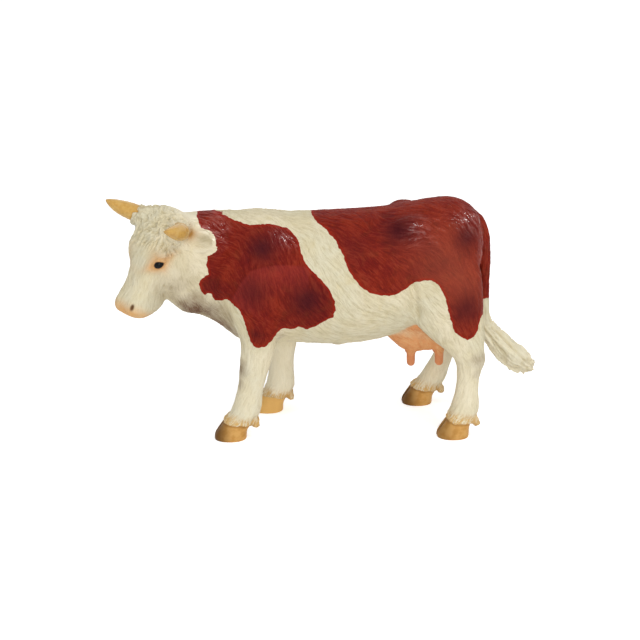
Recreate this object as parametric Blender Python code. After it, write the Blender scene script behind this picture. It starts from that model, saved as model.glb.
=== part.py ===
"""Toy farm animal figure: a standing horned cow with its head turned to its left.

The figure is moulded in soft solid vinyl as separate pieces that plug into one another and are
glued: trunk, head, four legs, two horns, two ears, tail and udder. The cow faces -X, its left
side faces -Y, and its soles stand on z = 0.
"""

import collections
import math

import bmesh
import bpy
import numpy as np
from mathutils import Matrix, Vector

MM = 0.001
DEGREE = math.pi / 180

# Trunk: from the chest to the buttocks, and from the back down to the belly
BACK_HEIGHT = 71.5 * MM
TRUNK_LENGTH = 90 * MM
TRUNK_DEPTH = 43 * MM
TRUNK_WIDTH = 35 * MM

# Neck, from the middle of the chest to the poll
NECK_LENGTH = 22 * MM
NECK_DEPTH = 33 * MM
NECK_WIDTH = 20 * MM

# Head, measured down the face, from forehead to jaw, and across the brow
HEAD_LENGTH = 36 * MM
HEAD_DEPTH = 18 * MM
HEAD_WIDTH = 17 * MM
HEAD_TURN = 31 * DEGREE
HEAD_DROP = 61 * DEGREE
HEAD_TILT = 20.5 * DEGREE
POLL_AHEAD = 49 * MM
POLL_ASIDE = 7.6 * MM
POLL_BELOW_BACK = 1.2 * MM

# Legs, in side view and in front view at the knee or hock
FRONT_LEG_DEPTH = 9.5 * MM
FRONT_LEG_WIDTH = 8 * MM
HIND_LEG_DEPTH = 9.5 * MM
HIND_LEG_WIDTH = 8 * MM
ELBOW_HEIGHT = 36 * MM
STIFLE_HEIGHT = 38 * MM
FRONT_STANCE = 23.5 * MM
HIND_STANCE = 30 * MM

# Soles, as shares of the trunk's length from the chest back
LEFT_FRONT_SOLE_SHARE = 0.0944
RIGHT_FRONT_SOLE_SHARE = 0.2356
LEFT_HIND_SOLE_SHARE = 0.8856
RIGHT_HIND_SOLE_SHARE = 0.8033

# Hooves
HOOF_LENGTH = 10.8 * MM
HOOF_WIDTH = 9.4 * MM
HOOF_HEIGHT = 6.4 * MM
CLEFT_WIDTH = 0.9 * MM
DEWCLAW_RADIUS = 1.2 * MM

# Horns and ears
HORN_LENGTH = 12.5 * MM
HORN_DIAMETER = 5.4 * MM
HORN_SPREAD = 16.2 * MM
RIGHT_HORN_LIFT_SHARE = 0.15
EAR_LENGTH = 11.5 * MM
EAR_WIDTH = 7 * MM
EAR_THICKNESS = 2.4 * MM

# Tail
TAIL_DIAMETER = 4.2 * MM
TAIL_DROP = 42 * MM
SWITCH_LENGTH = 20 * MM
SWITCH_WIDTH = 8.4 * MM

# Udder
UDDER_LENGTH = 23.5 * MM
UDDER_WIDTH = 19 * MM
UDDER_DEPTH = 8.6 * MM
TEAT_LENGTH = 5.4 * MM
TEAT_DIAMETER = 3 * MM

# Joints between the moulded pieces
SEAM_GAP = 0.3 * MM
LEG_BACK_FACE = 4.5 * MM
LEG_MARGIN = 2.6 * MM
SHOULDER_RADIUS = 13 * MM
THIGH_RADIUS = 14.5 * MM
DOWEL_DIAMETER = 6 * MM
DOWEL_LENGTH = 3 * MM
DOWEL_RAISE = 6.5 * MM
NECK_SPIGOT_DIAMETER = 9 * MM
NECK_SPIGOT_LENGTH = 6 * MM
PLUG_LENGTH = 2.4 * MM
PLUG_SHARE = 0.7

# Shaping of the skin
SKIN_GRAIN = 0.8 * MM
SKIN_SMOOTHING_STEPS = 9
SKIN_SHARE = 0.085
RING_POINTS = 16
RING_STEPS = 2
CUT_OVERRUN = 60 * MM
SHARP_EDGE = 40 * DEGREE

# The middle of the whole figure, measured from the spine and the middle of the trunk
MIDDLE_X = 2.5 * MM
MIDDLE_Y = -2.8 * MM

CREAM = (0.86, 0.80, 0.62, 1.0)
HORN_TAN = (0.80, 0.58, 0.28, 1.0)
UDDER_PINK = (0.85, 0.52, 0.33, 1.0)

AHEAD, RIGHT, UP = Vector((-1, 0, 0)), Vector((0, 1, 0)), Vector((0, 0, 1))

Ring = collections.namedtuple("Ring", "centre side up wide above below")
Leg = collections.namedtuple("Leg", "name joints sections depth width hand top_radius")


def clear_scene():
    for old in list(bpy.data.objects):
        bpy.data.objects.remove(old)


def vinyl(name, colour, roughness):
    material = bpy.data.materials.new(name)
    material.use_nodes = True
    shader = material.node_tree.nodes["Principled BSDF"]
    shader.inputs["Base Color"].default_value = colour
    shader.inputs["Roughness"].default_value = roughness
    shader.inputs["Metallic"].default_value = 0.0
    return material


def lerp(a, b, share):
    return a + (b - a) * share


def smoothed(rings, steps=RING_STEPS):
    """The same rings with more between them, on a curve that passes through each."""
    rows = np.array([[*r.centre, *r.side, *r.up, r.wide, r.above, r.below] for r in rings])
    gaps = np.linalg.norm(np.diff(rows[:, :3], axis=0), axis=1)
    at = np.concatenate([[0.0], np.cumsum(gaps)])
    slopes = np.gradient(rows, at, axis=0)
    found = []
    for i, gap in enumerate(gaps):
        for step in range(steps):
            t = step / steps
            a = (2 * t**3 - 3 * t**2 + 1) * rows[i] + (t**3 - 2 * t**2 + t) * gap * slopes[i]
            b = (3 * t**2 - 2 * t**3) * rows[i + 1] + (t**3 - t**2) * gap * slopes[i + 1]
            found.append(a + b)
    found.append(rows[-1])
    return [
        Ring(Vector(r[:3]), Vector(r[3:6]).normalized(), Vector(r[6:9]).normalized(), *r[9:])
        for r in found
    ]


def grown(rings, margin):
    """The rings made larger all round, with both ends pushed out by the same margin."""
    wider = [
        r._replace(wide=r.wide + margin, above=r.above + margin, below=r.below + margin)
        for r in rings
    ]
    for end, inner in ((0, 1), (-1, -2)):
        out = (rings[end].centre - rings[inner].centre).normalized()
        wider[end] = wider[end]._replace(centre=rings[end].centre + out * margin)
    return wider


def add_tube(bm, rings, fullness=0.9, points=RING_POINTS):
    """A closed tube through the rings. Each ring is an oval with unlike upper and lower halves."""
    loops = []
    for ring in rings:
        loop = []
        for k in range(points):
            angle = 2 * math.pi * k / points
            across, along = math.cos(angle), math.sin(angle)
            half = ring.above if along > 0 else ring.below
            x = math.copysign(abs(across) ** fullness, across) * ring.wide
            y = math.copysign(abs(along) ** fullness, along) * half
            loop.append(bm.verts.new(ring.centre + ring.side * x + ring.up * y))
        loops.append(loop)
    for first, second in zip(loops, loops[1:]):
        for k in range(points):
            after = (k + 1) % points
            bm.faces.new((first[k], first[after], second[after], second[k]))
    bm.faces.new(loops[0][::-1])
    bm.faces.new(loops[-1])


def add_blob(bm, centre, axes, halves):
    """An egg whose half sizes lie along three unit axes."""
    turn = Matrix([axis * half for axis, half in zip(axes, halves)]).transposed().to_4x4()
    place = Matrix.Translation(centre) @ turn
    bmesh.ops.create_icosphere(bm, subdivisions=3, radius=1, matrix=place)


def linked(name, mesh, helper):
    obj = bpy.data.objects.new(name, mesh)
    bpy.context.scene.collection.objects.link(obj)
    if helper:
        obj.hide_render = True
        obj.display_type = "WIRE"
    return obj


def to_object(name, bm):
    bmesh.ops.recalc_face_normals(bm, faces=bm.faces)
    mesh = bpy.data.meshes.new(name)
    bm.to_mesh(mesh)
    bm.free()
    return linked(name, mesh, helper=True)


def tube_object(name, rings, fullness=0.9):
    bm = bmesh.new()
    add_tube(bm, rings, fullness)
    return to_object(name, bm)


def realised(name, source, helper=True):
    """An object that holds the source's mesh as its modifiers leave it, in place of the source."""
    graph = bpy.context.evaluated_depsgraph_get()
    mesh = bpy.data.meshes.new_from_object(source.evaluated_get(graph))
    bpy.data.objects.remove(source)
    mesh.name = name
    return linked(name, mesh, helper)


def combine(obj, other, operation):
    modifier = obj.modifiers.new(operation.title(), "BOOLEAN")
    modifier.operation = operation
    modifier.solver = "EXACT"
    modifier.object = other


# Trunk


def trunk_x(along):
    """The place at a share of the trunk's length, from the chest back."""
    chest_share = 0.42
    return (along - chest_share) * TRUNK_LENGTH


def trunk_point(along, across, below):
    """A point from shares of the trunk's length, its half width, and its depth under the back."""
    z = BACK_HEIGHT - below * TRUNK_DEPTH
    return Vector((trunk_x(along), across * TRUNK_WIDTH / 2, z))


def trunk_rings():
    """Sections from the chest back to the buttocks."""
    # Along the trunk, top above the back line, bottom under it, half width
    section_shares = (
        (0.020, -0.170, 0.720, 0.17),
        (0.065, -0.060, 0.840, 0.30),
        (0.120, -0.005, 0.950, 0.40),
        (0.200, 0.005, 1.000, 0.46),
        (0.310, -0.015, 0.990, 0.48),
        (0.440, -0.010, 1.010, 0.50),
        (0.570, 0.000, 1.000, 0.50),
        (0.680, 0.020, 0.950, 0.48),
        (0.770, 0.055, 0.880, 0.45),
        (0.860, 0.080, 0.800, 0.42),
        (0.920, 0.060, 0.710, 0.36),
        (0.965, -0.010, 0.560, 0.27),
        (0.990, -0.130, 0.400, 0.15),
    )
    widest_share = 0.46
    rings = []
    for along, top, bottom, half in section_shares:
        centre = trunk_point(along, 0, lerp(bottom, -top, widest_share))
        above = BACK_HEIGHT + top * TRUNK_DEPTH - centre.z
        below = centre.z - BACK_HEIGHT + bottom * TRUNK_DEPTH
        rings.append(Ring(centre, RIGHT, UP, half * TRUNK_WIDTH, above, below))
    return rings


def add_trunk_swells(bm):
    """Shoulder blades, hip bones, pin bones and brisket, which stand proud of the barrel."""
    # Along, across and below the back, then half sizes along, across and up
    swell_shares = (
        (0.165, 0.56, 0.43, 0.125, 0.150, 0.260),
        (0.215, 0.62, 0.62, 0.100, 0.130, 0.200),
        (0.737, 0.50, 0.105, 0.085, 0.140, 0.095),
        (0.935, 0.32, 0.07, 0.040, 0.090, 0.090),
        (0.486, 0.00, 1.00, 0.045, 0.070, 0.050),
    )
    sizes = (TRUNK_LENGTH, TRUNK_WIDTH, TRUNK_DEPTH)
    for along, across, below, *half_shares in swell_shares:
        halves = [share * size for share, size in zip(half_shares, sizes)]
        for hand in (-1, 1):
            add_blob(bm, trunk_point(along, across * hand, below), (AHEAD, RIGHT, UP), halves)


# Head and neck


def head_axes():
    """Unit vectors down the face, out of the forehead, and to the cow's right."""
    level = Vector((-math.cos(HEAD_TURN), -math.sin(HEAD_TURN), 0))
    aside = Vector((-math.sin(HEAD_TURN), math.cos(HEAD_TURN), 0))
    down = level * math.cos(HEAD_DROP) - UP * math.sin(HEAD_DROP)
    out = level * math.sin(HEAD_DROP) + UP * math.cos(HEAD_DROP)
    tilt = Matrix.Rotation(-HEAD_TILT, 3, down)
    return down, tilt @ out, tilt @ aside


def poll():
    """The middle of the line between the horns' roots."""
    return Vector((-POLL_AHEAD, -POLL_ASIDE, BACK_HEIGHT - POLL_BELOW_BACK))


def head_point(down_share, out_share, right_share):
    """A point from the poll, in shares of the head's length, its depth and its half width."""
    down, out, right = head_axes()
    reach = down * down_share * HEAD_LENGTH + out * out_share * HEAD_DEPTH
    return poll() + reach + right * right_share * HEAD_WIDTH / 2


def head_rings():
    """Sections down the head from the poll to the lips."""
    # Down the face, forehead, widest line, jaw, half width
    section_shares = (
        (-0.147, -0.11, -0.25, -0.44, 0.22),
        (-0.115, 0.01, -0.12, -0.52, 0.37),
        (-0.055, 0.10, -0.05, -0.61, 0.52),
        (0.028, 0.16, -0.03, -0.68, 0.56),
        (0.097, 0.19, 0.00, -0.72, 0.50),
        (0.165, 0.19, 0.00, -0.75, 0.44),
        (0.264, 0.18, 0.00, -0.79, 0.42),
        (0.347, 0.16, -0.03, -0.82, 0.39),
        (0.417, 0.13, -0.08, -0.84, 0.35),
        (0.472, 0.11, -0.11, -0.84, 0.33),
        (0.556, 0.09, -0.16, -0.83, 0.31),
        (0.653, 0.08, -0.19, -0.79, 0.33),
        (0.736, 0.09, -0.19, -0.64, 0.36),
        (0.785, 0.07, -0.17, -0.46, 0.35),
        (0.826, 0.01, -0.16, -0.34, 0.29),
        (0.850, -0.07, -0.16, -0.26, 0.15),
    )
    down, out, right = head_axes()
    rings = []
    for along, front, widest, back, half in section_shares:
        centre = poll() + down * along * HEAD_LENGTH + out * widest * HEAD_DEPTH
        reach = ((front - widest) * HEAD_DEPTH, (widest - back) * HEAD_DEPTH)
        rings.append(Ring(centre, right, out, half * HEAD_WIDTH, *reach))
    return rings


def add_head_swells(bm):
    """Brows, eyes, cheeks, nostrils, poll and chin."""
    # Down, out and right, then half sizes down, out and right
    paired_shares = (
        (0.265, 0.04, 0.73, 0.085, 0.100, 0.085),
        (0.353, 0.02, 0.66, 0.045, 0.067, 0.080),
        (0.360, -0.44, 0.62, 0.170, 0.280, 0.155),
        (0.775, -0.05, 0.28, 0.078, 0.120, 0.140),
    )
    middle_shares = (
        (-0.085, -0.20, 0.00, 0.070, 0.220, 0.300),
        (0.715, -0.50, 0.00, 0.080, 0.130, 0.210),
    )
    sizes = (HEAD_LENGTH, HEAD_DEPTH, HEAD_WIDTH)
    rows = [(*row, hand) for row in paired_shares for hand in (-1, 1)]
    rows += [(*row, 1) for row in middle_shares]
    for down_share, out_share, right_share, *half_shares, hand in rows:
        halves = [share * size for share, size in zip(half_shares, sizes)]
        centre = head_point(down_share, out_share, right_share * hand)
        add_blob(bm, centre, head_axes(), halves)


def neck_rings():
    """Upright sections from inside the chest to inside the skull, bending to the cow's left."""
    # Ahead, aside, top above the back line, bottom under it, half width
    section_shares = (
        (-0.36, 0.00, -0.030, 1.180, 0.68),
        (0.00, 0.00, 0.005, 1.230, 0.63),
        (0.27, 0.03, 0.010, 1.100, 0.57),
        (0.55, 0.10, 0.010, 0.990, 0.50),
        (0.77, 0.20, 0.005, 0.950, 0.44),
        (1.00, 0.38, -0.060, 0.735, 0.36),
        (1.14, 0.55, -0.200, 0.545, 0.26),
    )
    root_ahead = POLL_AHEAD - NECK_LENGTH
    widest_share = 0.52
    centres = [
        Vector(
            (
                -root_ahead - ahead * NECK_LENGTH,
                -aside * NECK_WIDTH,
                BACK_HEIGHT + lerp(-bottom, top, widest_share) * NECK_DEPTH,
            )
        )
        for ahead, aside, top, bottom, half in section_shares
    ]
    rings = []
    for i, (ahead, aside, top, bottom, half) in enumerate(section_shares):
        way = centres[min(i + 1, len(centres) - 1)] - centres[max(i - 1, 0)]
        side = way.cross(UP).normalized()
        above = BACK_HEIGHT + top * NECK_DEPTH - centres[i].z
        below = centres[i].z - BACK_HEIGHT + bottom * NECK_DEPTH
        rings.append(Ring(centres[i], side, UP, half * NECK_WIDTH, above, below))
    return rings


def neck_seam():
    """The middle of the joint between neck and trunk, and its normal, which points ahead."""
    middle = trunk_point(0.07, 0, 0.40)
    ahead = Vector((-1, -0.12, 0.30)).normalized()
    return middle, ahead


# Legs

# Bone, place along it, then half sizes ahead, behind and across
FRONT_SECTION_SHARES = (
    (0, 0.35, 0.46, 0.42, 0.44),
    (0, 0.60, 0.49, 0.46, 0.47),
    (0, 0.90, 0.50, 0.54, 0.50),
    (1, 0.20, 0.46, 0.48, 0.46),
    (1, 0.50, 0.44, 0.44, 0.42),
    (1, 0.80, 0.48, 0.46, 0.45),
    (2, 0.00, 0.53, 0.50, 0.50),
    (2, 0.35, 0.53, 0.55, 0.51),
    (2, 0.70, 0.60, 0.68, 0.58),
    (3, 0.00, 0.80, 0.86, 0.68),
    (3, 0.45, 0.96, 0.92, 0.77),
    (3, 0.90, 0.80, 0.80, 0.68),
    (3, 1.20, 0.50, 0.50, 0.44),
)
HIND_SECTION_SHARES = (
    (0, 0.35, 0.45, 0.40, 0.44),
    (0, 0.60, 0.48, 0.45, 0.48),
    (0, 0.90, 0.48, 0.52, 0.51),
    (1, 0.20, 0.42, 0.45, 0.46),
    (1, 0.50, 0.38, 0.38, 0.40),
    (1, 0.80, 0.42, 0.43, 0.43),
    (2, 0.00, 0.51, 0.53, 0.49),
    (2, 0.25, 0.64, 0.66, 0.54),
    (2, 0.55, 0.92, 0.92, 0.62),
    (3, 0.00, 1.15, 1.18, 0.76),
    (3, 0.45, 1.24, 1.22, 0.84),
    (3, 0.90, 1.10, 1.10, 0.78),
    (3, 1.25, 0.80, 0.80, 0.58),
    (3, 1.45, 0.40, 0.40, 0.30),
)

# Behind the sole, out from the spine as a share of half the stance, and above the ground.
# Lengths and heights are shares of the elbow's or the stifle's height.
LEFT_FRONT_JOINT_SHARES = (
    (0.000, 1.00, 0.00),
    (0.136, 0.98, 0.26),
    (0.220, 0.94, 0.65),
    (0.266, 0.90, 1.00),
    (0.190, 0.70, 1.47),
)
RIGHT_FRONT_JOINT_SHARES = (
    (0.000, 1.00, 0.00),
    (0.115, 0.98, 0.26),
    (0.130, 0.94, 0.64),
    (0.130, 0.90, 1.00),
    (-0.040, 0.70, 1.47),
)
LEFT_HIND_JOINT_SHARES = (
    (0.000, 1.00, 0.00),
    (0.090, 0.98, 0.24),
    (0.130, 0.90, 0.66),
    (-0.060, 0.76, 1.00),
    (-0.080, 0.55, 1.50),
)
RIGHT_HIND_JOINT_SHARES = (
    (0.000, 1.00, 0.00),
    (0.125, 0.98, 0.24),
    (0.300, 0.92, 0.63),
    (0.135, 0.78, 1.00),
    (0.120, 0.55, 1.50),
)


def leg_joints(joint_shares, sole_share, hand, stance, height):
    """Sole, fetlock, knee, elbow and shoulder, or the same joints of a hind leg."""
    sole_x = trunk_x(sole_share)
    return [
        Vector((sole_x + behind * height, hand * out * stance / 2, up * height))
        for behind, out, up in joint_shares
    ]


def legs():
    front = (FRONT_SECTION_SHARES, FRONT_LEG_DEPTH, FRONT_LEG_WIDTH)
    hind = (HIND_SECTION_SHARES, HIND_LEG_DEPTH, HIND_LEG_WIDTH)
    rows = (
        ("front_leg_left", LEFT_FRONT_JOINT_SHARES, LEFT_FRONT_SOLE_SHARE, -1, front),
        ("front_leg_right", RIGHT_FRONT_JOINT_SHARES, RIGHT_FRONT_SOLE_SHARE, 1, front),
        ("hind_leg_left", LEFT_HIND_JOINT_SHARES, LEFT_HIND_SOLE_SHARE, -1, hind),
        ("hind_leg_right", RIGHT_HIND_JOINT_SHARES, RIGHT_HIND_SOLE_SHARE, 1, hind),
    )
    found = []
    for name, joint_shares, sole_share, hand, build_of in rows:
        if build_of is front:
            stance, height, radius = FRONT_STANCE, ELBOW_HEIGHT, SHOULDER_RADIUS
        else:
            stance, height, radius = HIND_STANCE, STIFLE_HEIGHT, THIGH_RADIUS
        joints = leg_joints(joint_shares, sole_share, hand, stance, height)
        found.append(Leg(name, joints, *build_of, hand, radius))
    return found


def leg_rings(leg):
    """Level sections up the leg."""
    rings = []
    for bone, share, ahead, behind, half in leg.sections:
        centre = lerp(leg.joints[bone], leg.joints[bone + 1], share)
        reach = (half * leg.width, ahead * leg.depth, behind * leg.depth)
        rings.append(Ring(centre, RIGHT, AHEAD, *reach))
    return rings


def hoof_rings(sole):
    """Level sections of one hoof. Its toe wall slopes back and its heel is upright."""
    # Height, toe, heel, half width
    section_shares = (
        (-0.16, 0.50, 0.46, 0.48),
        (0.20, 0.51, 0.47, 0.50),
        (0.50, 0.40, 0.47, 0.49),
        (0.85, 0.25, 0.46, 0.45),
        (1.20, 0.12, 0.40, 0.36),
    )
    rings = []
    for height, toe, heel, half in section_shares:
        centre = sole + UP * height * HOOF_HEIGHT
        reach = (half * HOOF_WIDTH, toe * HOOF_LENGTH, heel * HOOF_LENGTH)
        rings.append(Ring(centre, RIGHT, AHEAD, *reach))
    return rings


def add_dewclaws(bm, leg):
    """Two small claws that hang behind the fetlock."""
    fetlock = lerp(leg.joints[0], leg.joints[1], 0.58)
    axes = (AHEAD, RIGHT, UP)
    halves = (DEWCLAW_RADIUS, DEWCLAW_RADIUS, DEWCLAW_RADIUS * 1.5)
    for hand in (-1, 1):
        centre = fetlock - AHEAD * leg.depth * 0.52 + RIGHT * hand * leg.width * 0.24
        add_blob(bm, centre, axes, halves)


def leg_outline(leg, margin):
    """The side view of the leg's share of the skin: round the leg, with a round top."""
    lower = [ring for ring, row in zip(leg_rings(leg), leg.sections) if row[0] < 2]
    foot = hoof_rings(leg.joints[0])[0]
    lower.insert(0, foot._replace(centre=foot.centre - UP * LEG_MARGIN))
    reach = LEG_MARGIN + margin
    front = [Vector((r.centre.x - r.above - reach, r.centre.z)) for r in lower]
    back = [Vector((r.centre.x + r.below + reach, r.centre.z)) for r in lower]
    top = leg.joints[3]
    arc = []
    for k in range(RING_POINTS + 1):
        angle = math.pi * (1 - k / RING_POINTS)
        radius = leg.top_radius + margin
        arc.append(Vector((top.x + radius * math.cos(angle), top.z + radius * math.sin(angle))))
    return [*front, *arc, *back[::-1]]


def leg_block(leg, name, margin):
    """What the leg takes of the skin: its outline, from a flat back face near the spine outwards."""
    inner = leg.hand * (LEG_BACK_FACE - margin)
    bm = bmesh.new()
    corners = [bm.verts.new((p.x, inner, p.y)) for p in leg_outline(leg, margin)]
    face = bm.faces.new(corners)
    grown_faces = bmesh.ops.extrude_face_region(bm, geom=[face])["geom"]
    moved = [part for part in grown_faces if isinstance(part, bmesh.types.BMVert)]
    bmesh.ops.translate(bm, verts=moved, vec=RIGHT * leg.hand * CUT_OVERRUN)
    bm.normal_update()
    return to_object(name, bm)


def dowel(leg, name, margin):
    """The round dowel on the leg's back face, or with a margin the hole that takes it."""
    radius = DOWEL_DIAMETER / 2 + margin
    top = leg.joints[3] + UP * DOWEL_RAISE
    ends = (LEG_BACK_FACE + DOWEL_LENGTH, LEG_BACK_FACE - DOWEL_LENGTH - margin)
    rings = [
        Ring(Vector((top.x, leg.hand * y, top.z)), AHEAD, UP, radius, radius, radius) for y in ends
    ]
    return tube_object(name, rings, fullness=1)


# Skin


def skin():
    """The whole body as one smooth closed surface, before it is cut along its seams."""
    bm = bmesh.new()
    masses = [trunk_rings(), neck_rings(), head_rings()]
    for leg in legs():
        masses += [leg_rings(leg), hoof_rings(leg.joints[0])]
        add_dewclaws(bm, leg)
    for rings in masses:
        add_tube(bm, smoothed(rings), points=2 * RING_POINTS)
    add_trunk_swells(bm)
    add_head_swells(bm)
    rough = to_object("rough_skin", bm)
    fuse = rough.modifiers.new("Fuse", "REMESH")
    fuse.mode = "VOXEL"
    fuse.voxel_size = SKIN_GRAIN
    relax = rough.modifiers.new("Relax", "SMOOTH")
    relax.factor = 0.5
    relax.iterations = SKIN_SMOOTHING_STEPS
    thin = rough.modifiers.new("Thin", "DECIMATE")
    thin.ratio = SKIN_SHARE
    body = realised("whole_skin", rough)
    combine(body, ground_cutter(), "DIFFERENCE")
    return realised("body", body)


def box_object(name, centre, axes, halves):
    bm = bmesh.new()
    turn = Matrix([axis * half for axis, half in zip(axes, halves)]).transposed().to_4x4()
    bmesh.ops.create_cube(bm, size=2, matrix=Matrix.Translation(centre) @ turn)
    return to_object(name, bm)


def ground_cutter():
    """Everything under z = 0, so that the soles are flat."""
    halves = (2 * TRUNK_LENGTH, 2 * TRUNK_WIDTH, CUT_OVERRUN / 2)
    return box_object("ground_cutter", -UP * CUT_OVERRUN / 2, (AHEAD, RIGHT, UP), halves)


def seam_axes():
    middle, ahead = neck_seam()
    side = ahead.cross(UP).normalized()
    return middle, ahead, side, side.cross(ahead)


def head_cutter(name, set_back):
    """Everything ahead of the neck's seam, moved ahead by set_back."""
    middle, ahead, side, up = seam_axes()
    centre = middle + ahead * (CUT_OVERRUN / 2 + set_back)
    return box_object(name, centre, (ahead, side, up), [CUT_OVERRUN / 2] * 3)


def neck_spigot(name, margin):
    """The round spigot behind the head, or with a margin the socket that takes it."""
    middle, ahead, side, up = seam_axes()
    radius = NECK_SPIGOT_DIAMETER / 2 + margin
    ends = (NECK_SPIGOT_LENGTH, -NECK_SPIGOT_LENGTH - margin)
    rings = [Ring(middle + ahead * end, side, up, radius, radius, radius) for end in ends]
    return tube_object(name, rings, fullness=1)


# Small pieces that plug into the skin


def rings_along(points, halves, flat_up):
    """Rings square to a path, with one axis turned as near to flat_up as it goes."""
    rings = []
    for i, (point, half) in enumerate(zip(points, halves)):
        ahead = (points[min(i + 1, len(points) - 1)] - points[max(i - 1, 0)]).normalized()
        side = flat_up.cross(ahead).normalized()
        rings.append(Ring(point, side, ahead.cross(side), half, half, half))
    return rings


def with_plug(points, halves):
    """The path begun a plug's length further in, so that its root sits in a socket."""
    inner = points[0] + (points[0] - points[1]).normalized() * PLUG_LENGTH
    return [inner, *points], [halves[0] * PLUG_SHARE, *halves]


def horn_rings(hand):
    """A horn that leaves the side of the poll and curves ahead; the right one points higher."""
    down, out, right = head_axes()
    root = head_point(0.02, 0, 0) + right * hand * HORN_SPREAD / 2
    lift = RIGHT_HORN_LIFT_SHARE if hand > 0 else 0
    # Aside, out and down in horn lengths, then half width in horn diameters
    path_shares = (
        (-0.04, 0.00, 0.00, 0.51),
        (0.13, 0.17, 0.01, 0.51),
        (0.24, 0.39, 0.04, 0.47),
        (0.31, 0.61, 0.08, 0.38),
        (0.35, 0.82, 0.12, 0.25),
        (0.36, 0.97, 0.155, 0.12),
        (0.36, 1.04, 0.17, 0.04),
    )
    points = [
        root + (right * hand * aside + out * ahead + down * (fall - lift * ahead**2)) * HORN_LENGTH
        for aside, ahead, fall, _ in path_shares
    ]
    halves = [row[3] * HORN_DIAMETER for row in path_shares]
    return rings_along(*with_plug(points, halves), -down)


def ear_rings(hand):
    """A leaf-shaped ear that stands out under the horn and points a little back."""
    down, out, right = head_axes()
    root = head_point(0.050, -0.295, 0.98 * hand)
    # Aside, back and up in ear lengths, then half width in ear widths
    path_shares = (
        (0.00, 0.00, 0.00, 0.28),
        (0.12, 0.06, 0.02, 0.40),
        (0.24, 0.13, 0.06, 0.48),
        (0.38, 0.21, 0.11, 0.51),
        (0.50, 0.28, 0.15, 0.47),
        (0.59, 0.33, 0.18, 0.36),
        (0.64, 0.355, 0.20, 0.22),
        (0.66, 0.365, 0.205, 0.08),
    )
    points = [
        root + (right * hand * aside - out * back - down * rise) * EAR_LENGTH
        for aside, back, rise, _ in path_shares
    ]
    halves = [row[3] * EAR_WIDTH for row in path_shares]
    thin = EAR_THICKNESS / 2
    return [
        ring._replace(above=min(ring.wide, thin), below=min(ring.wide, thin))
        for ring in rings_along(*with_plug(points, halves), out + right * hand * 0.5)
    ]


def tail_rings():
    """The tail climbs out of the rump, hangs behind it and swings out in its switch."""
    root = trunk_point(0.925, 0, 0.20)
    # Back in tail diameters, down in shares of its drop, half width in tail diameters
    hang_shares = (
        (0.00, 0.00, 0.62),
        (0.40, -0.105, 0.62),
        (0.93, -0.125, 0.59),
        (1.38, -0.050, 0.54),
        (1.68, 0.090, 0.50),
        (1.78, 0.34, 0.46),
        (1.82, 0.58, 0.47),
        (1.94, 0.73, 0.60),
    )
    # Back and down in switch lengths, half width in switch widths
    switch_shares = (
        (0.14, 0.18, 0.40),
        (0.32, 0.37, 0.47),
        (0.51, 0.54, 0.48),
        (0.68, 0.67, 0.40),
        (0.79, 0.75, 0.26),
        (0.84, 0.78, 0.10),
    )
    points, halves = [], []
    for back, below, half in hang_shares:
        points.append(root - AHEAD * back * TAIL_DIAMETER - UP * below * TAIL_DROP)
        halves.append(half * TAIL_DIAMETER)
    bend = points[-1]
    for back, below, half in switch_shares:
        points.append(bend - AHEAD * back * SWITCH_LENGTH - UP * below * SWITCH_LENGTH)
        halves.append(half * SWITCH_WIDTH)
    return rings_along(*with_plug(points, halves), RIGHT)


def udder_rings():
    """Level sections of the bag, from inside the belly down to its floor."""
    # Height under the middle, length ahead, length behind, half width
    section_shares = (
        (-0.45, 0.38, 0.36, 0.36),
        (-0.20, 0.47, 0.42, 0.45),
        (0.12, 0.50, 0.47, 0.50),
        (0.42, 0.41, 0.50, 0.49),
        (0.75, 0.29, 0.48, 0.43),
        (1.02, 0.17, 0.40, 0.32),
        (1.14, 0.08, 0.24, 0.17),
    )
    rings = []
    for below, ahead, behind, half in section_shares:
        centre = udder_middle() - UP * below * UDDER_DEPTH
        reach = (half * UDDER_WIDTH, ahead * UDDER_LENGTH, behind * UDDER_LENGTH)
        rings.append(Ring(centre, RIGHT, AHEAD, *reach))
    return rings


def udder_middle():
    return trunk_point(0.755, 0, 0.86)


def teat_rings(behind_share, hand):
    root = udder_middle() - AHEAD * behind_share * UDDER_LENGTH
    root += RIGHT * hand * 0.27 * UDDER_WIDTH - UP * 0.7 * UDDER_DEPTH
    # Down in teat lengths, half width in teat diameters
    section_shares = ((0.0, 0.78), (0.35, 0.62), (0.7, 0.48), (1.1, 0.46), (1.35, 0.36), (1.43, 0.18))
    rings = []
    for below, half in section_shares:
        centre = root + (RIGHT * hand * 0.12 - UP) * below * TEAT_LENGTH
        rings.append(Ring(centre, RIGHT, AHEAD, *[half * TEAT_DIAMETER] * 3))
    return rings


# Assembly


def finish_piece(name, source, material):
    """Turns a cut helper into a shown piece in the figure's frame."""
    piece = realised(name, source, helper=False)
    piece.data.transform(Matrix.Translation((-MIDDLE_X, -MIDDLE_Y, 0)))
    piece.data.materials.clear()
    piece.data.materials.append(material)
    piece.data.shade_smooth()
    piece.data.set_sharp_from_angle(angle=SHARP_EDGE)
    return piece


def cleft(sole, name):
    """The slot between a hoof's two claws, open at the toe."""
    bm = bmesh.new()
    height = 0.8 * HOOF_HEIGHT
    depth = 0.34 * HOOF_LENGTH
    toe = sole + AHEAD * 0.55 * HOOF_LENGTH
    rings = []
    for up_share, back_share, width_share in ((-0.3, 0, 1), (1.0, 0.75, 0.6)):
        centre = toe + UP * height * up_share - AHEAD * depth * back_share
        half = CLEFT_WIDTH / 2 * width_share
        rings.append(Ring(centre, RIGHT, AHEAD, half, depth, depth))
    add_tube(bm, rings, fullness=1)
    return to_object(name, bm)


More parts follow.
